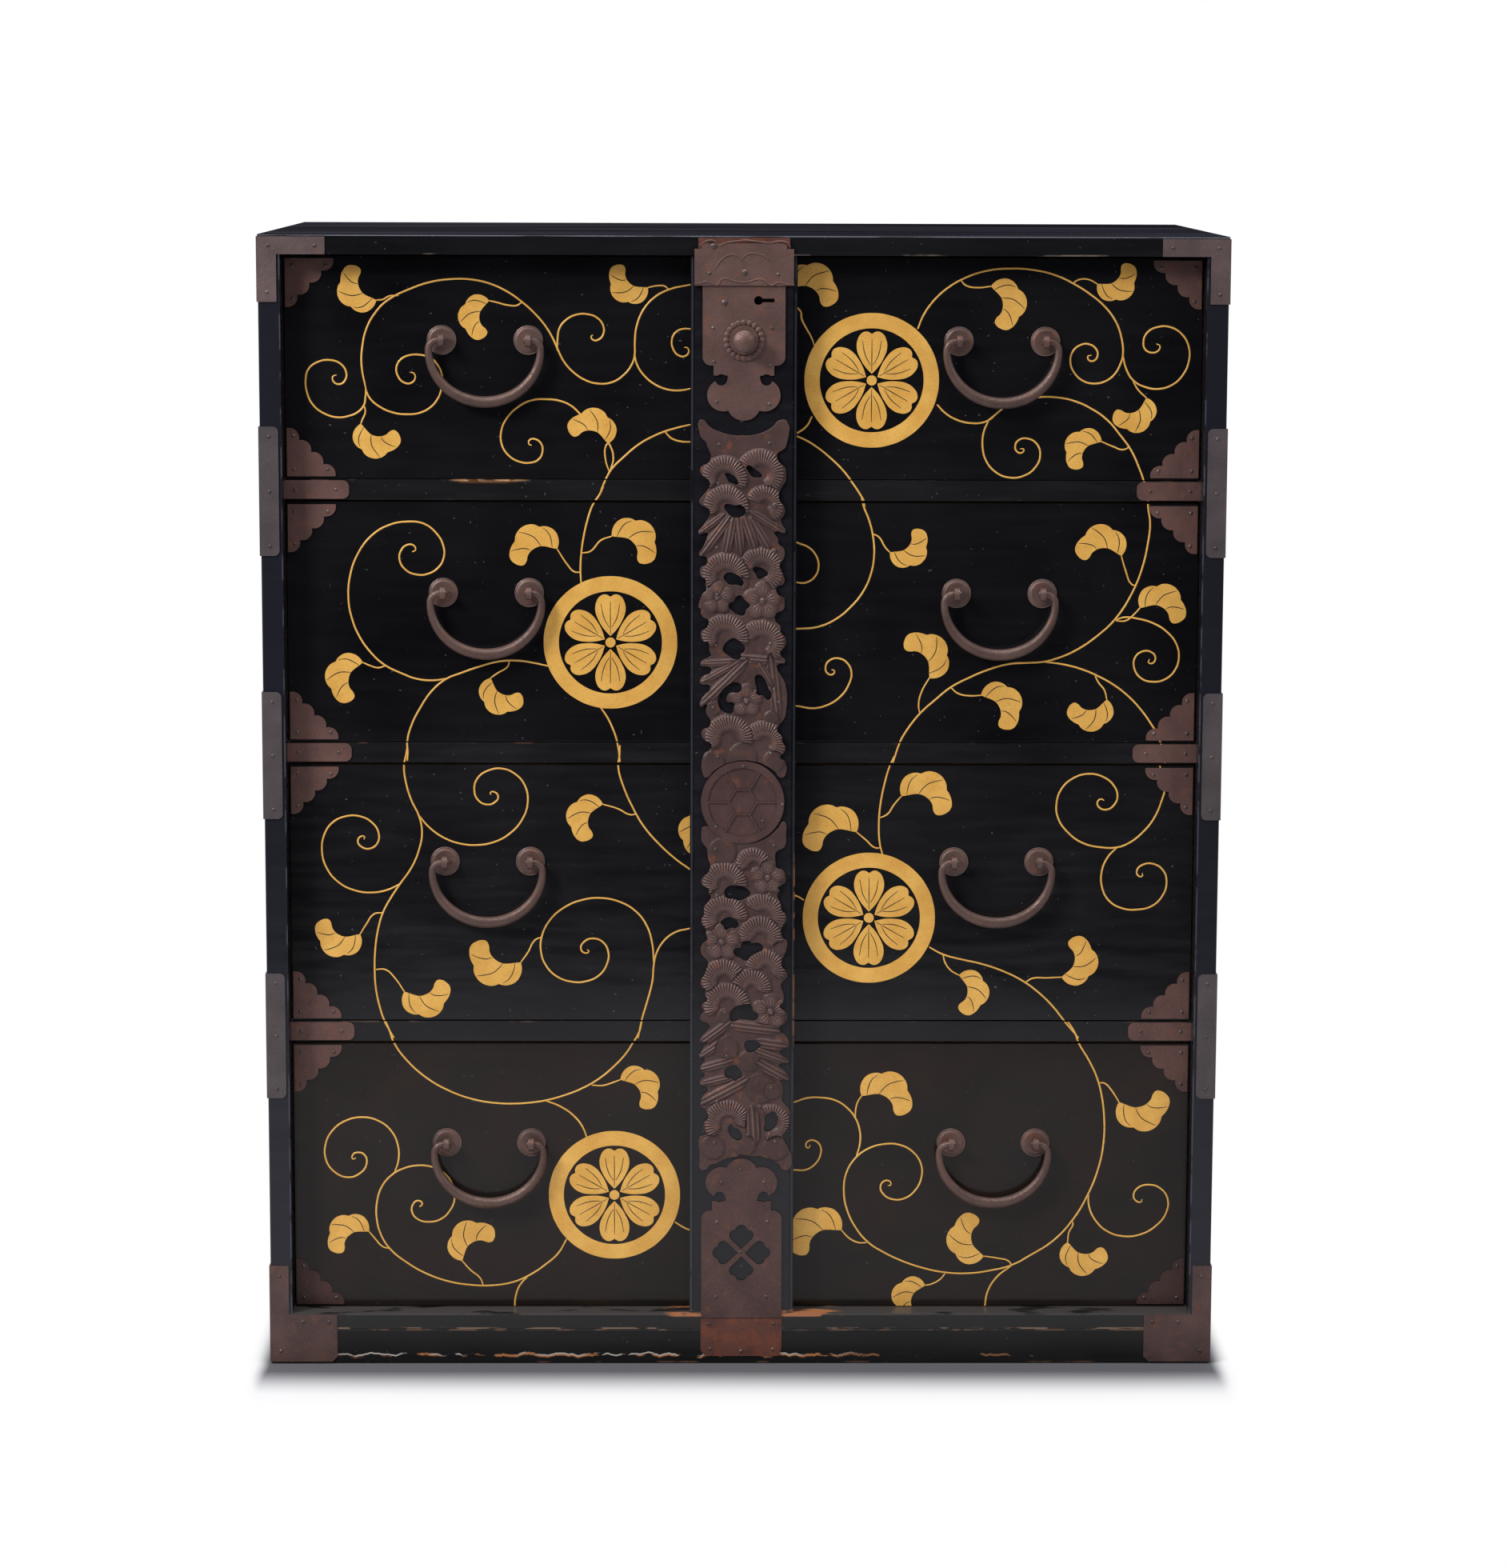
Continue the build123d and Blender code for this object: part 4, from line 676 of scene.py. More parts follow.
        [(1142, 630), (1145, 680), (1170, 735), (1215, 778), (1275, 797), (1340, 790), (1400, 755), (1437, 705),
         (1442, 650), (1415, 610), (1370, 595), (1330, 607), (1313, 635), (1322, 658), (1342, 662), (1345, 652)],
        [(850, 915), (800, 955), (765, 1010), (754, 1068), (752, 1110)],
    ], "leaves": [
        ((285, 250), (440, 290), 1, [(262, 333), (263, 305), (270, 275)]),
        ((1255, 273), (1412, 265), -1, [(1182, 198), (1200, 200), (1225, 225)]),
        ((210, 773), (50, 835), -1, [(305, 822), (275, 822), (240, 805)]),
        ((748, 875), (693, 735), 1, [(855, 910), (840, 893), (800, 883)]),
        ((1065, 820), (1190, 875), -1, [(1082, 738), (1085, 750), (1070, 780)]),
        ((527, 990), (460, 1090), -1, [(602, 943), (585, 965), (550, 985)]),
    ]},
}

vineSet = {
    "lineWidthMm": 1.6, "lineTaper": 0.8, "curlShare": 0.62, "curlPoints": 7, "curlEndPixels": 30, "flatness": 0.3,
    "stalkWidthMm": 1.4, "leafThickMm": 0.25, "veinWidthMm": 0.85, "veinTaper": 0.5, "veinFlatness": 0.5,
    "edgeMm": 0.4,               # bare lacquer left at each board's edges
    "railHalfMm": 419.5,
}

# One leaf, in mm from its stem joint: three lobes with a cleft between each, and three veins
leafSet = {
    "tip": (-22.5, 24.5), "leastSize": 0.93,
    "outline": [(0, 0), (-4, 1.9), (-8, 3.5), (-12.3, 6.1), (-15.1, 9.9), (-16.7, 14.6), (-16.5, 19.3),
                (-14.6, 23.6), (-14.6, 27.4), (-17, 29.7), (-21.7, 30.9), (-26.9, 30), (-30.7, 25.5),
                (-32.3, 20.3), (-32.5, 15.6), (-34.7, 11.8), (-35.4, 6.6), (-34.4, 1.9), (-31.6, -2.4),
                (-27.4, -5.4), (-22.9, -6.4), (-20.3, -9), (-15.6, -11.1), (-10.8, -11.3), (-5.7, -9),
                (-2.4, -5.7), (-0.5, -1.9)],
    "clefts": (0, 14, 20),
    "veins": [[(-3.8, 1.9), (-8, -2.8), (-14.2, -6.8), (-20, -7.3)],
              [(-12.3, 6.1), (-16.5, 4.5), (-22.2, 3.5), (-29.2, 5.2), (-34.2, 7.3)],
              [(-17, 14.2), (-21.2, 15.1), (-25.9, 18.9), (-29.9, 24.1)]],
}


def layLeaf(points, stem, tip, hand):
    # The leaf's own points, scaled and turned so that it runs from this stem to this tip
    own = Vector(leafSet["tip"])
    run = Vector(tip) - Vector(stem)
    size = max(run.length / own.length, leafSet["leastSize"])
    own.normalize()
    run.normalize()
    laid = []
    for point in points:
        along = point[0] * own.x + point[1] * own.y
        side = -point[0] * own.y + point[1] * own.x
        laid.append((stem[0] + size * (along * run.x - hand * side * run.y),
                     stem[1] + size * (along * run.y + hand * side * run.x)))
    return laid


strokeLines, stalkLines, leafLines, veinLines = [], [], [], []
for half in vineHalves.values():
    for stroke in half["strokes"]:
        curls = math.dist(stroke[-1], stroke[-2]) < vineSet["curlEndPixels"]
        strokeLines.append({"points": [faceSpot(half["corner"], spot) for spot in stroke],
                            "taper": vineSet["lineTaper"], "curl": vineSet["curlShare"] if curls else 1.0})
    for stem, tip, hand, stalk in half["leaves"]:
        stemSpot, tipSpot = faceSpot(half["corner"], stem), faceSpot(half["corner"], tip)
        leafLines.append({"points": layLeaf(leafSet["outline"], stemSpot, tipSpot, hand),
                          "notches": leafSet["clefts"]})
        for vein in leafSet["veins"]:
            veinLines.append({"points": layLeaf(vein, stemSpot, tipSpot, hand), "taper": vineSet["veinTaper"]})
        stalkLines.append({"points": [faceSpot(half["corner"], spot) for spot in stalk + [stem]],
                           "taper": vineSet["lineTaper"]})

# The four round badges: a gold ring round a dark field with a six-petalled flower drawn with a compass
badgeSet = {
    "drawer_1": (117, 921), "drawer_2": (-122, 679), "drawer_3": (118, 421), "drawer_4": (-119, 156),
    "ringOuterMm": 61.5, "ringInnerMm": 47.5, "petals": 6,
    "petal": [(0, 6), (5.6, 12), (10.6, 20), (13.8, 29), (13.0, 37.5), (9.2, 43.2), (4.4, 44.6), (0, 42.4),
              (-4.4, 44.6), (-9.2, 43.2), (-13.0, 37.5), (-13.8, 29), (-10.6, 20), (-5.6, 12)],
    "petalClefts": (0, 7),
    "petalVeins": [[(0, 8), (0, 22), (0, 38)], [(1.2, 14), (6, 23), (8.6, 36)], [(-1.2, 14), (-6, 23), (-8.6, 36)]],
    "ringPoints": 24, "heartMm": 4.6, "heartPoints": 8, "veinTaper": 0.6,
}


def turned(points, degrees, centre):
    swing = math.radians(degrees)
    return [(centre[0] + px * math.cos(swing) - pz * math.sin(swing),
             centre[1] + px * math.sin(swing) + pz * math.cos(swing)) for px, pz in points]


def ringPoints(radius, centre, count):
    return turned([(radius * math.cos(math.tau * i / count), radius * math.sin(math.tau * i / count))
                   for i in range(count)], 0, centre)


for drawer in drawers:
    centre = badgeSet[drawer]
    for radius in (badgeSet["ringOuterMm"], badgeSet["ringInnerMm"]):
        leafLines.append({"points": ringPoints(radius, centre, badgeSet["ringPoints"])})
    leafLines.append({"points": ringPoints(badgeSet["heartMm"], centre, badgeSet["heartPoints"])})
    for petal in range(badgeSet["petals"]):
        swing = 360.0 / badgeSet["petals"] * petal
        leafLines.append({"points": turned(badgeSet["petal"], swing, centre), "notches": badgeSet["petalClefts"]})
        for vein in badgeSet["petalVeins"]:
            veinLines.append({"points": turned(vein, swing, centre), "taper": badgeSet["veinTaper"]})

tube = {"resolution_u": 4, "bevel_resolution": 2, "use_fill_caps": True}
flat = {"resolution_u": 4, "fill_mode": "BOTH"}
strokeForm = curveMesh("strokeForm", strokeLines, "3D", False, bevel_depth=vineSet["lineWidthMm"] * mm / 2, **tube)
stalkForm = curveMesh("stalkForm", stalkLines, "3D", False, bevel_depth=vineSet["stalkWidthMm"] * mm / 2, **tube)
for form in (strokeForm, stalkForm):
    bmesh.ops.scale(form, vec=(1, vineSet["flatness"], 1), verts=form.verts)
leafForm = curveMesh("leafForm", leafLines, "2D", True, extrude=vineSet["leafThickMm"] * mm, **flat)
veinForm = curveMesh("veinForm", veinLines, "3D", False, bevel_depth=vineSet["veinWidthMm"] * mm / 2,
                     resolution_u=3, bevel_resolution=1, use_fill_caps=True)
bmesh.ops.scale(veinForm, vec=(1, vineSet["veinFlatness"], 1), verts=veinForm.verts)
bmesh.ops.translate(veinForm, vec=(0, -vineSet["leafThickMm"] * mm, 0), verts=veinForm.verts)


def cutBetween(forms, low, high, half, faceY):
    # What of the forms lies on one board, closed where the board's edges cut it
    bm = bmesh.new()
    for form in forms:
        spare = bpy.data.meshes.new("spare")
        form.to_mesh(spare)
        bm.from_mesh(spare)
        bpy.data.meshes.remove(spare)
    for place, outward in (((0, 0, low * mm), (0, 0, -1)), ((0, 0, high * mm), (0, 0, 1)),
                           ((-half * mm, 0, 0), (-1, 0, 0)), ((half * mm, 0, 0), (1, 0, 0))):
        cut = bmesh.ops.bisect_plane(bm, geom=bm.verts[:] + bm.edges[:] + bm.faces[:], plane_co=place,
                                     plane_no=outward, clear_outer=True)
        edges = [e for e in cut["geom_cut"] if isinstance(e, bmesh.types.BMEdge) and e.is_boundary]
        if edges:
            bmesh.ops.holes_fill(bm, edges=edges, sides=0)
    bmesh.ops.translate(bm, vec=(0, faceY * mm, 0), verts=bm.verts)
    return bm


boards = {}
for drawer in drawers:
    low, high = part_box(f"{drawer}_front")
    boards[drawer] = (low.z / mm, high.z / mm, high.x / mm, low.y / mm, drawer)
for rail in rails:
    low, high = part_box(rail)
    boards[rail] = (low.z / mm, high.z / mm, vineSet["railHalfMm"], low.y / mm, "case")
for board, (low, high, half, faceY, body) in boards.items():
    edge = vineSet["edgeMm"]
    vine = cutBetween([strokeForm, stalkForm, leafForm], low + edge, high - edge, half - edge, faceY)
    if vine.faces:
        addPiece(f"{board}_gold_vine", vine, goldLacquer, body)
    if board in drawers:
        veins = cutBetween([veinForm], low + edge, high - edge, half - edge, faceY)
        addPiece(f"{board}_leaf_veins", veins, veinLacquer, body)
for form in (strokeForm, stalkForm, leafForm, veinForm):
    form.free()

print("stage: openwork relief")

# How the photograph maps onto the bar's plates, whose middle line leans a little in the picture
platePlane = {"pixelsPerMm": 1.3532, "zeroPixel": 120.0, "zeroZ": 1180.6, "middlePixel": 930.9, "middleAt": 430.0,
              "lean": 0.0066}
plateViews = {
    "lock": {"corner": (860, 280), "enlarged": 6.0308},
    "upper": {"corner": (860, 520), "enlarged": 6.533},
    "middle": {"corner": (860, 740), "enlarged": 5.058},
    "lower": {"corner": (860, 1040), "enlarged": 6.03},
    "sprays": {"corner": (860, 1290), "enlarged": 8.2526},
    "foot": {"corner": (860, 1470), "enlarged": 6.272},
    "upperPlate": {"corner": (823, 500), "enlarged": 3.136},
    "lowerPlate": {"corner": (823, 990), "enlarged": 3.136},
}


def plateSpot(viewName, spot):
    view = plateViews[viewName]
    pixelX = view["corner"][0] + spot[0] / view["enlarged"]
    pixelY = view["corner"][1] + spot[1] / view["enlarged"]
    middle = platePlane["middlePixel"] - platePlane["lean"] * (pixelY - platePlane["middleAt"])
    return ((pixelX - middle) / platePlane["pixelsPerMm"],
            platePlane["zeroZ"] - (pixelY - platePlane["zeroPixel"]) / platePlane["pixelsPerMm"])


reliefSet = {
    "voxelMm": 0.65, "puffMm": 2.6, "bladeMm": 1.9, "lobeMm": 1.3, "footShare": 0.12, "lobeFlatness": 2.2,
    "tickMm": 0.6, "tickEveryMm": 3.3,       # the real needles are about 2.2 mm apart, too fine to show here
    "pineEndDegrees": 16.0, "grooveMm": 0.4, "grooveCount": 3, "petals": 5, "petalGrooves": 20, "heartShare": 0.35,
    "needlesFrom": -0.45, "needlesRise": 0.3, "needlesTo": 0.95, "needlesFall": 0.15,
    "petalComb": 0.5, "petalCombFrom": 0.4, "bladeFullest": 0.85, "bladeSpread": 1.35,
    "combEdge": 0.15, "creaseTone": 0.12, "riseTone": 0.72, "combTone": 0.4, "groundTone": 0.62,
}

# The two pierced plates, read off enlarged views: their edges, their holes, and the forms chased on them, each laid
# over those before it. pine: centre, ring radius, half width, from and to in degrees; plum: centre, petals'
# distance, petal radius; blade: root, point, half width; lobe: centre, radius
platesSet = {
    "openwork_upper": {"view": "upperPlate", "edge": [
        ("upper", [(103, -8), (140, -10), (165, 20), (205, 58), (270, 85), (330, 105), (470, 115), (560, 105),
                  (640, 75), (700, 35), (725, 5), (745, -8), (803, -8), (805, 180), (790, 215), (725, 268),
                  (745, 330), (790, 370), (800, 430), (795, 480), (765, 530), (742, 580), (748, 640), (785, 690),
                  (788, 740), (770, 775), (755, 800), (792, 903), (705, 890), (735, 950), (735, 985), (780, 1030),
                  (785, 1090), (765, 1130), (745, 1155), (755, 1200), (780, 1260), (783, 1300), (760, 1325),
                  (725, 1335), (730, 1400), (780, 1430), (785, 1480)]),
        ("middle", [(607, 55), (590, 75), (555, 90), (550, 140), (580, 170), (585, 215), (610, 240), (612, 295),
                   (590, 320), (578, 340), (612, 402), (560, 415), (575, 470), (612, 535), (615, 720), (605, 755),
                   (562, 815), (560, 835), (590, 870), (590, 900), (610, 935), (605, 970), (575, 1000), (608, 1030),
                   (608, 1120), (582, 1136), (540, 1090), (490, 1058), (430, 1034), (350, 1022), (270, 1034),
                   (210, 1058), (160, 1090), (110, 1136), (90, 1110), (87, 1010), (110, 970), (130, 960), (145, 920),
                   (110, 900), (85, 870), (85, 840), (105, 820), (125, 815), (140, 770), (115, 730), (112, 690),
                   (120, 668), (78, 684), (85, 630), (140, 550), (78, 537), (80, 500), (150, 450), (130, 430),
                   (78, 420), (95, 385), (145, 358), (135, 330), (130, 275), (95, 265), (83, 240), (85, 205),
                   (120, 180), (130, 135), (95, 115), (82, 85), (82, 40)]),
        ("upper", [(105, 1520), (105, 1430), (130, 1385), (150, 1370), (145, 1320), (148, 1280), (115, 1260),
                  (100, 1225), (110, 1180), (150, 1160), (160, 1130), (150, 1095), (96, 1088), (130, 1010),
                  (165, 920), (168, 903), (88, 910), (130, 840), (180, 765), (185, 740), (175, 705), (130, 685),
                  (98, 650), (120, 610), (155, 570), (185, 515), (180, 480), (130, 440), (105, 405), (130, 355),
                  (165, 340), (195, 290), (185, 250), (165, 200), (155, 170), (115, 130), (103, 90)]),
    ], "holes": [
        ("upper", [(480, 362), (510, 355), (545, 385), (580, 405), (605, 448), (560, 452), (530, 450), (500, 410)]),
        ("upper", [(308, 420), (350, 425), (395, 455), (410, 510), (370, 500), (340, 490), (322, 455)]),
        ("upper", [(302, 675), (340, 668), (385, 680), (425, 672), (475, 725), (440, 768), (370, 773), (330, 740)]),
        ("upper", [(530, 1183), (570, 1178), (610, 1190), (650, 1235), (620, 1258), (580, 1278), (555, 1240)]),
        ("upper", [(292, 1265), (320, 1225), (370, 1230), (430, 1262), (447, 1328), (400, 1322), (340, 1320),
                  (310, 1295)]),
        ("middle", [(255, 35), (290, 15), (300, -8), (330, -22), (355, 5), (390, 40), (365, 70), (355, 103),
                   (315, 100), (285, 80)]),
        ("middle", [(222, 305), (255, 262), (290, 248), (320, 262), (358, 300), (352, 335), (330, 350), (335, 370),
                   (290, 380), (250, 355), (222, 330)]),
        ("middle", [(190, 620), (215, 575), (265, 535), (310, 528), (335, 550), (320, 590), (270, 590), (243, 620),
                   (245, 650), (290, 660), (285, 690), (278, 722), (240, 722), (205, 700), (188, 660)]),
        ("middle", [(425, 485), (450, 480), (485, 510), (500, 560), (520, 590), (518, 630), (500, 640), (470, 610),
                   (435, 605), (430, 560), (422, 530)]),
    ], "forms": [
        ("pine", (400, 262), 62, 32, -60, 160), ("pine", (262, 285), 60, 30, -15, 195),
        ("pine", (418, 385), 46, 30, -50, 150), ("pine", (268, 398), 60, 30, -5, 190),
        ("blade", (375, 420), (497, 497), 17), ("blade", (250, 430), (162, 497), 15),
        ("blade", (370, 450), (440, 570), 22), ("blade", (340, 440), (385, 575), 22),
        ("blade", (310, 440), (325, 585), 22), ("blade", (290, 445), (262, 590), 22),
        ("blade", (275, 440), (165, 588), 20), ("pine", (402, 640), 58, 32, -60, 160),
        ("pine", (264, 665), 62, 32, 0, 195), ("lobe", (330, 690), 26), ("plum", (232, 748), 37, 29),
        ("plum", (408, 760), 44, 34), ("lobe", (270, 840), 30), ("pine", (402, 925), 60, 32, -50, 150),
        ("pine", (262, 905), 62, 32, -5, 195), ("blade", (320, 985), (498, 1000), 19),
        ("blade", (295, 1000), (165, 1006), 15), ("blade", (300, 1005), (165, 1080), 16),
        ("blade", (330, 1010), (165, 1172), 22), ("blade", (440, 1000), (465, 1245), 26),
        ("blade", (395, 1010), (450, 1100), 18), ("lobe", (215, 1180), 30), ("plum", (343, 1150), 38, 29),
        ("lobe", (440, 1220), 30), ("lobe", (280, 1220), 26), ("pine", (412, 1318), 56, 32, -40, 150),
        ("pine", (275, 1302), 64, 32, 0, 195), ("lobe", (215, 1390), 44), ("lobe", (450, 1390), 44),
        ("lobe", (330, 1372), 58),
    ]},
    "openwork_lower": {"view": "lowerPlate", "edge": [
        ("middle", [(80, 1480), (85, 1452), (110, 1443), (150, 1450), (180, 1482), (250, 1528), (350, 1550),
                   (450, 1533), (520, 1493), (565, 1450), (595, 1413), (610, 1420), (614, 1500)]),
        ("lower", [(732, 40), (715, 75), (660, 105), (650, 140), (655, 200), (662, 230), (700, 240), (728, 290),
                  (725, 340), (690, 365), (668, 378), (684, 402), (665, 430), (670, 460), (690, 500), (695, 550),
                  (730, 590), (730, 640), (700, 680), (695, 750), (735, 790), (735, 850), (705, 920), (695, 940),
                  (700, 990), (735, 1030), (735, 1070), (700, 1105), (690, 1140), (712, 1200), (705, 1260),
                  (680, 1290), (730, 1340), (735, 1390), (715, 1430), (685, 1440), (682, 1480)]),
        ("sprays", [(985, 10), (1015, 60), (1015, 150), (960, 160), (925, 180), (950, 220), (1030, 302), (920, 322),
                   (960, 370), (1005, 420), (1027, 494), (930, 488), (950, 520), (960, 560), (955, 650), (948, 690),
                   (975, 740), (1030, 800), (1030, 920), (1010, 1000), (965, 1065), (990, 1160), (1030, 1220),
                   (1025, 1440), (950, 1440), (930, 1400), (860, 1355), (790, 1325), (720, 1302), (650, 1304),
                   (560, 1290), (525, 1284), (490, 1305), (400, 1320), (330, 1345), (270, 1380), (200, 1400),
                   (160, 1445), (100, 1445), (95, 1300), (88, 1110), (105, 1085), (155, 1070), (135, 1010),
                   (140, 940), (185, 890), (180, 850), (155, 800), (100, 765), (105, 720), (130, 660), (185, 590),
                   (100, 532), (98, 500), (155, 440), (105, 370), (110, 340), (155, 265), (88, 243), (110, 200),
                   (165, 110), (180, 95), (102, 80), (110, 40)]),
        ("lower", [(115, 1500), (150, 1440), (80, 1400), (80, 1370), (105, 1335), (90, 1290), (110, 1260),
                  (130, 1250), (115, 1200), (120, 1165), (88, 1140), (85, 1090), (110, 1050), (125, 1010), (140, 950),
                  (95, 900), (85, 850), (110, 800), (135, 780), (125, 740), (120, 690), (90, 650), (95, 610),
                  (110, 590), (110, 530), (150, 480), (165, 450), (150, 430), (145, 385), (100, 365), (90, 330),
                  (115, 290), (140, 270), (160, 210), (150, 180), (140, 140), (133, 80), (97, 30)]),
    ], "holes": [
        ("lower", [(280, 385), (320, 365), (400, 370), (435, 390), (463, 425), (430, 460), (380, 478), (330, 465),
                  (285, 460), (265, 420)]),
        ("lower", [(250, 630), (300, 608), (345, 625), (370, 650), (362, 688), (310, 690), (275, 705), (255, 670),
                  (235, 650)]),
        ("lower", [(335, 855), (385, 840), (400, 795), (440, 788), (480, 808), (520, 805), (558, 848), (510, 880),
                  (460, 910), (425, 945), (390, 925), (350, 905)]),
        ("lower", [(330, 1310), (380, 1280), (440, 1275), (465, 1290), (480, 1330), (515, 1350), (500, 1400),
                  (450, 1400), (380, 1395), (320, 1410), (300, 1360)]),
        ("sprays", [(570, 85), (620, 70), (690, 75), (735, 120), (700, 155), (665, 185), (605, 190), (570, 145)]),
        ("sprays", [(365, 375), (410, 345), (470, 335), (510, 365), (540, 430), (535, 460), (500, 470), (470, 500),
                   (435, 470), (375, 460), (358, 410)]),
        ("sprays", [(775, 880), (830, 825), (860, 815), (900, 860), (905, 930), (880, 990), (830, 1025), (785, 1038),
                   (765, 1000), (775, 950)]),
        ("sprays", [(395, 985), (425, 965), (455, 995), (515, 1025), (525, 1125), (480, 1130), (435, 1105),
                   (400, 1050)]),
    ], "forms": [
        ("lobe", (250, 210), 56), ("pine", (368, 268), 44, 28, 0, 180), ("pine", (256, 342), 58, 32, 0, 200),
        ("plum", (425, 315), 41, 31), ("lobe", (225, 385), 26), ("lobe", (445, 400), 30),
        ("pine", (405, 470), 58, 34, -45, 130), ("pine", (255, 478), 60, 34, 10, 200),
        ("pine", (395, 560), 58, 34, -20, 175), ("lobe", (470, 598), 30), ("plum", (243, 572), 44, 33),
        ("pine", (414, 682), 48, 34, -20, 165), ("pine", (250, 728), 56, 34, 5, 200),
        ("pine", (358, 760), 48, 34, 0, 185), ("pine", (262, 828), 62, 32, 0, 195), ("lobe", (250, 868), 30),
        ("plum", (434, 850), 44, 32), ("blade", (275, 905), (485, 930), 24), ("blade", (265, 900), (156, 982), 20),
        ("blade", (262, 960), (153, 1036), 18), ("lobe", (262, 1000), 48), ("lobe", (350, 1050), 44),
        ("blade", (385, 975), (503, 992), 24), ("blade", (380, 1010), (505, 1057), 20),
        ("blade", (390, 1060), (506, 1126), 24), ("blade", (270, 1050), (155, 1084), 20),
        ("blade", (290, 1110), (153, 1146), 18), ("blade", (330, 1130), (153, 1226), 26), ("lobe", (395, 1160), 62),
        ("lobe", (440, 1170), 36), ("pine", (264, 1302), 62, 34, 0, 205), ("pine", (437, 1300), 52, 24, -100, 110),
        ("blade", (360, 1250), (368, 1400), 30), ("lobe", (205, 1400), 50), ("lobe", (455, 1402), 52),
        ("lobe", (330, 1390), 46),
    ]},
}


def chasedForm(kind, start, sizes, view, x, z):
    # One chased form over the plate's points: above 0 where it stands, its comb of fine lines, and its height
    pixel = 1.0 / (plateViews[view]["enlarged"] * platePlane["pixelsPerMm"])
    cx, cz = plateSpot(view, start)
    away, turn = np.hypot(x - cx, z - cz), np.arctan2(z - cz, x - cx)
    if kind == "pine":
        ring, half, first, last = sizes[0] * pixel, sizes[1] * pixel, sizes[2], sizes[3]
        reach = (away - ring) / half
        sweep = (np.degrees(turn) - first) % 360.0
        beyond = np.where(sweep > last - first, np.minimum(sweep - (last - first), 360.0 - sweep), 0.0)
        ticks = round(math.tau * (ring + half) / reliefSet["tickEveryMm"])
        # needle marks on the outer half only, fading out at the rim
        outerHalf = (np.clip((reach - reliefSet["needlesFrom"]) / reliefSet["needlesRise"], 0.0, 1.0)
                     * np.clip((reliefSet["needlesTo"] - reach) / reliefSet["needlesFall"], 0.0, 1.0))
        return (1.0 - reach ** 2 - (beyond / reliefSet["pineEndDegrees"]) ** 2, np.cos(ticks * turn) * outerHalf,
                reliefSet["puffMm"])
    if kind == "plum":
        distance, radius = sizes[0] * pixel, sizes[1] * pixel
        angles = [math.radians(90 + 360 / reliefSet["petals"] * k) for k in range(reliefSet["petals"])]
        petals = [(cx + distance * math.cos(a), cz + distance * math.sin(a)) for a in angles]
        body = np.max([1.0 - np.hypot(x - px, z - pz) ** 2 / radius ** 2 for px, pz in petals], axis=0)
        body = np.maximum(body, 1.0 - away ** 2 / (reliefSet["heartShare"] * distance) ** 2)
        comb = reliefSet["petalComb"] * np.cos(reliefSet["petalGrooves"] * turn)
        comb = comb * np.clip(away / (reliefSet["petalCombFrom"] * distance), 0.0, 1.0)
        return body, comb * (away < distance), reliefSet["puffMm"]
    if kind == "blade":
        px, pz = plateSpot(view, sizes[0])
        length, half = math.hypot(px - cx, pz - cz), sizes[1] * pixel
        ux, uz = (px - cx) / length, (pz - cz) / length
        along = ((x - cx) * ux + (z - cz) * uz) / length
        side = ((z - cz) * ux - (x - cx) * uz) / half
        comb = np.cos(reliefSet["grooveCount"] * math.pi * side) * reliefSet["grooveMm"] / reliefSet["tickMm"]
        # a spindle, fullest a little short of its middle
        spindle = (2 * along - reliefSet["bladeFullest"]) ** 2 / reliefSet["bladeSpread"]
        return 1.0 - spindle - side ** 2, comb, reliefSet["bladeMm"]
    body = reliefSet["lobeFlatness"] * (1.0 - (away / (sizes[0] * pixel)) ** 2)
    return body, np.zeros(len(x)), reliefSet["lobeMm"]


def forgedSheet(nodeName, pieceName):
    # The pierced plate as one fine, even skin
    low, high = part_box(nodeName)
    plate = platesSet[nodeName]
    loops = [{"points": [plateSpot(viewName, spot) for viewName, run in plate["edge"] for spot in run]}]
    for viewName, run in plate["holes"]:
        loops.append({"points": [plateSpot(viewName, spot) for spot in run]})
    source = curveMesh(pieceName, loops, "2D", True, extrude=(high.y - low.y) / 2, resolution_u=3, fill_mode="BOTH")
    bmesh.ops.translate(source, vec=(0, (high.y + low.y) / 2, 0), verts=source.verts)
    bmesh.ops.remove_doubles(source, verts=source.verts, dist=2 * weldMm * mm)
    mesh = bpy.data.meshes.new(pieceName)
    source.to_mesh(mesh)
    source.free()
    piece = bpy.data.objects.new(pieceName, mesh)
    scene.collection.objects.link(piece)
    remesh = piece.modifiers.new("forgedSkin", "REMESH")
    remesh.mode = "VOXEL"
    remesh.voxel_size = reliefSet["voxelMm"] * mm
    finished = bpy.data.meshes.new_from_object(piece.evaluated_get(bpy.context.evaluated_depsgraph_get()))
    bpy.data.objects.remove(piece)
    return finished


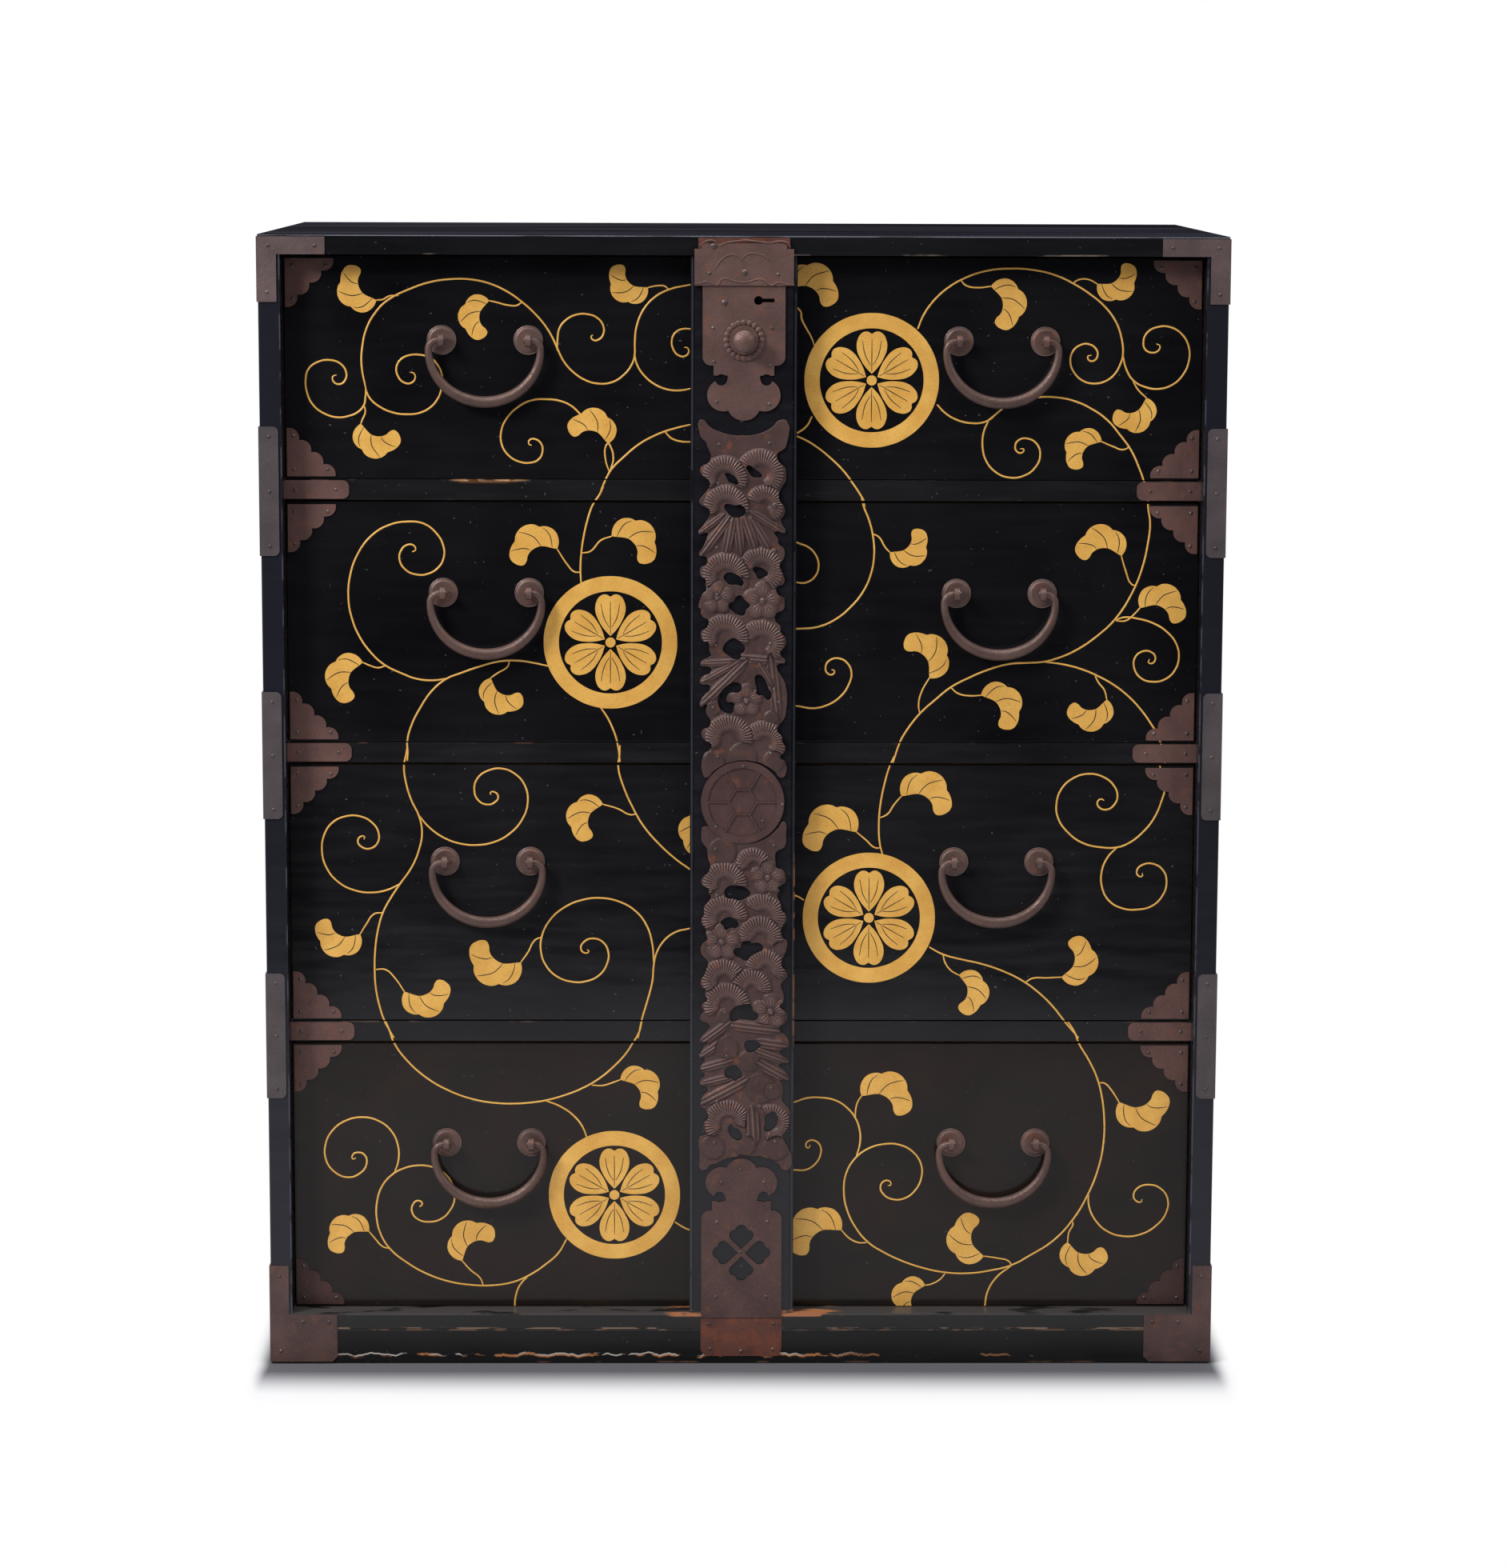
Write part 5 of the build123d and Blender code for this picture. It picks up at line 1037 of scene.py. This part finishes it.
def reliefPlate(nodeName, pieceName):
    low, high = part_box(nodeName)
    view, forms = platesSet[nodeName]["view"], platesSet[nodeName]["forms"]
    finished = forgedSheet(nodeName, pieceName)
    spots = np.zeros(len(finished.vertices) * 3)
    finished.vertices.foreach_get("co", spots)
    spots = spots.reshape(-1, 3)
    x, z = spots[:, 0] / mm, spots[:, 2] / mm
    rise, tooth, chased = np.zeros(len(x)), np.zeros(len(x)), np.zeros(len(x), dtype=bool)
    for kind, start, *sizes in forms:
        body, comb, height = chasedForm(kind, start, sizes, view, x, z)
        inside = body > 0.0
        foot = reliefSet["footShare"]
        dome = height * (foot + (1.0 - foot) * np.sqrt(np.clip(body, 0.0, 1.0)))
        comb = comb * np.clip(body / reliefSet["combEdge"], 0.0, 1.0)
        rise = np.where(inside, dome + reliefSet["tickMm"] * comb, rise)
        tooth = np.where(inside, comb, tooth)
        chased |= inside
    # How high and bare each point is, from crease to crest, for the painted shade with soot in the creases and the
    # painted highlight with rubbing on the crests; the flat ground lies between
    chasing = (reliefSet["creaseTone"] + reliefSet["riseTone"] * rise / reliefSet["puffMm"]
               + reliefSet["combTone"] * tooth)
    chasing = np.where(chased, np.clip(chasing, 0.0, 1.0), reliefSet["groundTone"])
    front = np.clip((high.y - spots[:, 1]) / (high.y - low.y), 0.0, 1.0)
    spots[:, 1] -= np.maximum(rise, 0.0) * mm * front
    finished.vertices.foreach_set("co", spots.ravel())
    shade = finished.attributes.new("chasing", "FLOAT", "POINT")
    shade.data.foreach_set("value", np.ascontiguousarray(chasing, dtype=np.float32))
    finished.update()
    bm = bmesh.new()
    bm.from_mesh(finished)
    bpy.data.meshes.remove(finished)
    piece = addPiece(pieceName, bm, openworkIron, "locking_bar", sharpDegrees=180.0)
    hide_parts(nodeName)


for nodeName in platesSet:
    reliefPlate(nodeName, f"{nodeName}_chased")

print("stage: nails and chased lines")

nailSet = {"radiusMm": 1.7, "riseMm": 1.0, "largeMm": 2.7, "segments": 10, "rings": 8, "frontMetres": -1.0}
small, large = nailSet["radiusMm"], nailSet["largeMm"]


def nailHeads(name, spots, body):
    # Domed nail heads at (x, z, face y, radius), in mm; each is a ball pressed flat, half of it in the plate
    bm = bmesh.new()
    for x, z, faceY, radius in spots:
        made = bmesh.ops.create_uvsphere(bm, u_segments=nailSet["segments"], v_segments=nailSet["rings"],
                                         radius=radius * mm)
        turn = Matrix.Rotation(math.radians(90.0), 4, "X")
        squash = Matrix.Diagonal((1.0, nailSet["riseMm"] / nailSet["radiusMm"], 1.0, 1.0))
        place = Matrix.Translation((x * mm, faceY * mm, z * mm))
        bmesh.ops.transform(bm, matrix=place @ squash @ turn, verts=made["verts"])
    addPiece(name, bm, nailIron, body)


# The bar's nails, read off the enlarged views: the small ones, then the large ones
barNails = {
    "lock": ([(175, 352), (683, 360), (200, 757), (637, 757), (205, 1005), (618, 1035), (222, 1303), (613, 1318),
              (410, 1443)], [(205, 152), (433, 345), (285, 567)]),
    "upper": ([(260, 187), (665, 175), (250, 500), (238, 1020), (238, 1405), (605, 1447)], [(705, 675), (697, 1045)]),
    "middle": ([(178, 293), (518, 280), (157, 687), (367, 652), (570, 650), (185, 1000), (518, 977), (345, 1060),
                (590, 1305), (467, 1410), (172, 1447)], []),
    "lower": ([(200, 85), (640, 60), (350, 340), (208, 440), (605, 462), (243, 800), (640, 890), (265, 1340),
               (617, 1343)], []),
    "sprays": ([(378, 235), (845, 572), (275, 712), (720, 770), (597, 1065), (243, 1150), (880, 1140), (520, 1440)],
               []),
    "foot": ([(240, 72), (577, 72), (205, 395), (605, 392), (388, 640), (193, 1005), (592, 1003)], []),
}
shapes = bpy.context.evaluated_depsgraph_get()
spots = []
for viewName, sizes in barNails.items():
    for radius, places in zip((small, large), sizes):
        for spot in places:          # each sits on whatever lies foremost there: plate, hasp, medallion or chasing
            x, z = plateSpot(viewName, spot)
            start = Vector((x * mm, nailSet["frontMetres"], z * mm))
            met, place = scene.ray_cast(shapes, start, Vector((0.0, 1.0, 0.0)))[:2]
            if met:
                spots.append((x, z, place.y / mm, radius))
nailHeads("bar_nails", spots, "locking_bar")

caseNailSet = {
    "cornerEdgeMm": 6.5, "cornerLegMm": 37.0,
    "railEndMm": 420.0, "strapFromEndMm": (10.0, 47.0),
    "apronNails": [(-30.5, 38.0), (30.5, 38.0), (-29.0, 14.0), (0.0, 12.0), (29.5, 13.5)],
    "sideMm": 440.0, "edgeMm": 431.5,        # the case's sides and the middle of their front edges
    "topArm": [(10.0, 1043.0), (52.0, 1043.0)], "topLegZ": 1001.0,
    "footArm": [(9.0, 12.0), (30.0, 40.0), (54.0, 40.0)], "footLegZ": 84.0,
    "edgeStrapMm": (-50.0, 0.0, 50.0),
}
spots = []
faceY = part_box("apron_plate")[0].y / mm
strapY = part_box("rail_straps")[0].y / mm
railHeights = [(low.z + high.z) / 2 / mm for low, high in map(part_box, rails)]
for hand in (-1, 1):
    for height in railHeights:
        spots += [(hand * (caseNailSet["railEndMm"] - inward), height, strapY, small)
                  for inward in caseNailSet["strapFromEndMm"]]
        spots += [(hand * caseNailSet["edgeMm"], height + up, faceY, small) for up in caseNailSet["edgeStrapMm"]]
    spots += [(hand * (caseNailSet["sideMm"] - inward), z, faceY, small)
              for inward, z in caseNailSet["topArm"] + caseNailSet["footArm"]]
    spots += [(hand * caseNailSet["edgeMm"], caseNailSet[leg], faceY, small) for leg in ("topLegZ", "footLegZ")]
spots += [(x, z, faceY, small) for x, z in caseNailSet["apronNails"]]
nailHeads("case_nails", spots, "case")

for drawer in drawers:
    low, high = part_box(f"{drawer}_corner_plates")
    edge, leg = caseNailSet["cornerEdgeMm"], caseNailSet["cornerLegMm"]
    spots = []
    for hand in (-1, 1):
        for upHand, z in ((1, low.z / mm), (-1, high.z / mm)):
            for inX, inZ in ((edge, edge), (leg, edge), (edge, leg)):
                spots.append((hand * (high.x / mm - inX), z + upHand * inZ, low.y / mm, small))
    nailHeads(f"{drawer}_corner_nails", spots, drawer)

# Lines chased into the hasp, standing a little proud
haspSet = {"halfWidthMm": 0.85, "taper": 0.4, "flatness": 0.75, "lines": [
    [(105, 150), (150, 118), (215, 118), (240, 150), (300, 128), (380, 118), (435, 112), (520, 118), (620, 128),
     (690, 118), (750, 128), (775, 160)],
    [(215, 335), (235, 290), (280, 240), (330, 218), (385, 225), (418, 255), (428, 310)],
    [(418, 255), (440, 222), (485, 207), (540, 212), (590, 235), (630, 270)],
    [(60, 430), (110, 425), (150, 415), (190, 425), (235, 438), (262, 400), (300, 392), (350, 408), (420, 420),
     (480, 412), (520, 398), (570, 400), (600, 425), (640, 440), (685, 418), (740, 432), (800, 436)],
]}
haspForm = curveMesh("haspForm", [{"points": [plateSpot("lock", spot) for spot in line], "taper": haspSet["taper"]}
                                  for line in haspSet["lines"]], "3D", False, resolution_u=4, bevel_resolution=1,
                     bevel_depth=haspSet["halfWidthMm"] * mm, use_fill_caps=True)
bmesh.ops.scale(haspForm, vec=(1, haspSet["flatness"], 1), verts=haspForm.verts)
bmesh.ops.translate(haspForm, vec=(0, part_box("hasp_plate")[0].y, 0), verts=haspForm.verts)
addPiece("hasp_chased_lines", haspForm, plateIron, "locking_bar")

# A ring of petals chased on the knob's rose
roseSet = {"petals": 20, "radiusMm": 16.0, "petalLongMm": 2.9, "petalWideMm": 2.3, "petalThickMm": 0.8,
           "faceMm": 1.7, "segments": 12, "rings": 8}
bm = bmesh.new()
knobLow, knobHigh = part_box("knob")
knobZ = (knobLow.z + knobHigh.z) / 2
for index in range(roseSet["petals"]):
    angle = math.tau * index / roseSet["petals"]
    made = bmesh.ops.create_uvsphere(bm, u_segments=roseSet["segments"], v_segments=roseSet["rings"], radius=mm)
    place = Matrix.Translation((roseSet["radiusMm"] * mm * math.cos(angle),
                                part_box("lock_plate")[0].y - roseSet["faceMm"] * mm,
                                knobZ + roseSet["radiusMm"] * mm * math.sin(angle)))
    shape = Matrix.Diagonal((roseSet["petalLongMm"], roseSet["petalThickMm"], roseSet["petalWideMm"], 1.0))
    bmesh.ops.transform(bm, matrix=place @ Matrix.Rotation(-angle, 4, "Y") @ shape, verts=made["verts"])
addPiece("knob_rose_petals", bm, plateIron, "locking_bar")

# A rim round each of the sixteen handle roses, in paler, shinier iron: a painted highlight ring, with wear
rimSet = {"radiusMm": 12.9, "thickMm": 0.6, "steps": 40, "sides": 8, "handlesX": (-236.0, 236.0), "spacingMm": 79.0,
          "roseMm": 0.95}
rimHighlightIron = russetIron("wornIronRimsWithPaintedHighlight", "#6d5a54", "#8a756d", "#6b4a3c", 0.64, rough=0.34, metallic=0.6)
for drawer in drawers:
    low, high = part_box(f"{drawer}_handle_mounts")
    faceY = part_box(f"{drawer}_front")[0].y
    bm = bmesh.new()
    for handleX in rimSet["handlesX"]:
        for hand in (-1, 1):
            centre = Vector(((handleX + hand * rimSet["spacingMm"] / 2) * mm, faceY - rimSet["roseMm"] * mm,
                             (low.z + high.z) / 2))
            made = bmesh.ops.create_circle(bm, segments=rimSet["sides"], radius=rimSet["thickMm"] * mm)
            place = Matrix.Translation(centre + Vector((rimSet["radiusMm"] * mm, 0, 0)))
            bmesh.ops.transform(bm, matrix=place, verts=made["verts"])
            ring = list({e for v in made["verts"] for e in v.link_edges})
            bmesh.ops.spin(bm, geom=made["verts"] + ring, cent=centre, axis=(0, 1, 0), angle=math.tau,
                           steps=rimSet["steps"], use_merge=True)
    addPiece(f"{drawer}_rose_rims", bm, rimHighlightIron, drawer)

print("stage: floor")

# shade and shadeMetres set the painted shadow on the paper round the chest's footprint
floorSet = {
    "radiusMetres": 1.7, "segments": 96, "belowMetres": 0.0005, "colour": "#d2d2d5", "shade": "#505054",
    "rough": 0.9, "shadeMetres": 0.07,
    "shadowMetres": 0.008, "whiteMetres": 0.11,      # where the white begins, in front, and where it is full
    "sideTimes": 5.0,                                # how much sooner both come at the sides
}
bm = bmesh.new()
bmesh.ops.create_circle(bm, cap_ends=True, segments=floorSet["segments"], radius=floorSet["radiusMetres"])
floorMesh = bpy.data.meshes.new("paleFloor")
bm.to_mesh(floorMesh)
bm.free()
floor = bpy.data.objects.new("paleFloor", floorMesh)
scene.collection.objects.link(floor)
floor.location.z = -floorSet["belowMetres"]
# Seamless studio paper: matt and pale, with a painted shadow that darkens its colour where the chest stands, and
# bright white a hand's breadth off in front and a finger's breadth off at the sides, as the camera sees it
paper, tree, shader, spot = startMaterial("paleStudioPaper")
across, deep = addNode(tree, "ShaderNodeSeparateXYZ", {0: spot}).outputs[:2]
footLow, footHigh = cadBox
reach = addNode(tree, "ShaderNodeMath", {0: across}, operation="ABSOLUTE").outputs[0]
beside = both(tree, both(tree, reach, footHigh[0], "SUBTRACT"), floorSet["sideTimes"])
facing = both(tree, both(tree, footLow[1], deep, "SUBTRACT"), both(tree, deep, footHigh[1], "SUBTRACT"), "MAXIMUM")
away = both(tree, both(tree, both(tree, beside, beside), both(tree, facing, facing), "ADD"), 0.5, "POWER")
# painted shadow: the paper's colour goes from the shade colour at the footprint to the paper colour over shadeMetres
near = addNode(tree, "ShaderNodeMapRange", {0: away, 1: 0.0, 2: floorSet["shadeMetres"]}).outputs[0]
tree.links.new(blendColour(tree, near, floorSet["shade"], floorSet["colour"]), shader.inputs["Base Color"])
shader.inputs["Roughness"].default_value = floorSet["rough"]
fade = addNode(tree, "ShaderNodeMapRange", {0: away, 1: floorSet["shadowMetres"], 2: floorSet["whiteMetres"]},
               interpolation_type="SMOOTHSTEP").outputs[0]
cameraRay = addNode(tree, "ShaderNodeLightPath").outputs["Is Camera Ray"]
glow = addNode(tree, "ShaderNodeEmission", {0: linearColour("#ffffff"), 1: 1.0}).outputs[0]
mixed = addNode(tree, "ShaderNodeMixShader", {0: both(tree, fade, cameraRay), 1: shader.outputs[0], 2: glow})
sheet = next(node for node in tree.nodes if node.type == "OUTPUT_MATERIAL")
tree.links.new(mixed.outputs[0], sheet.inputs[0])
floorMesh.materials.append(paper)

print("stage: sizes")
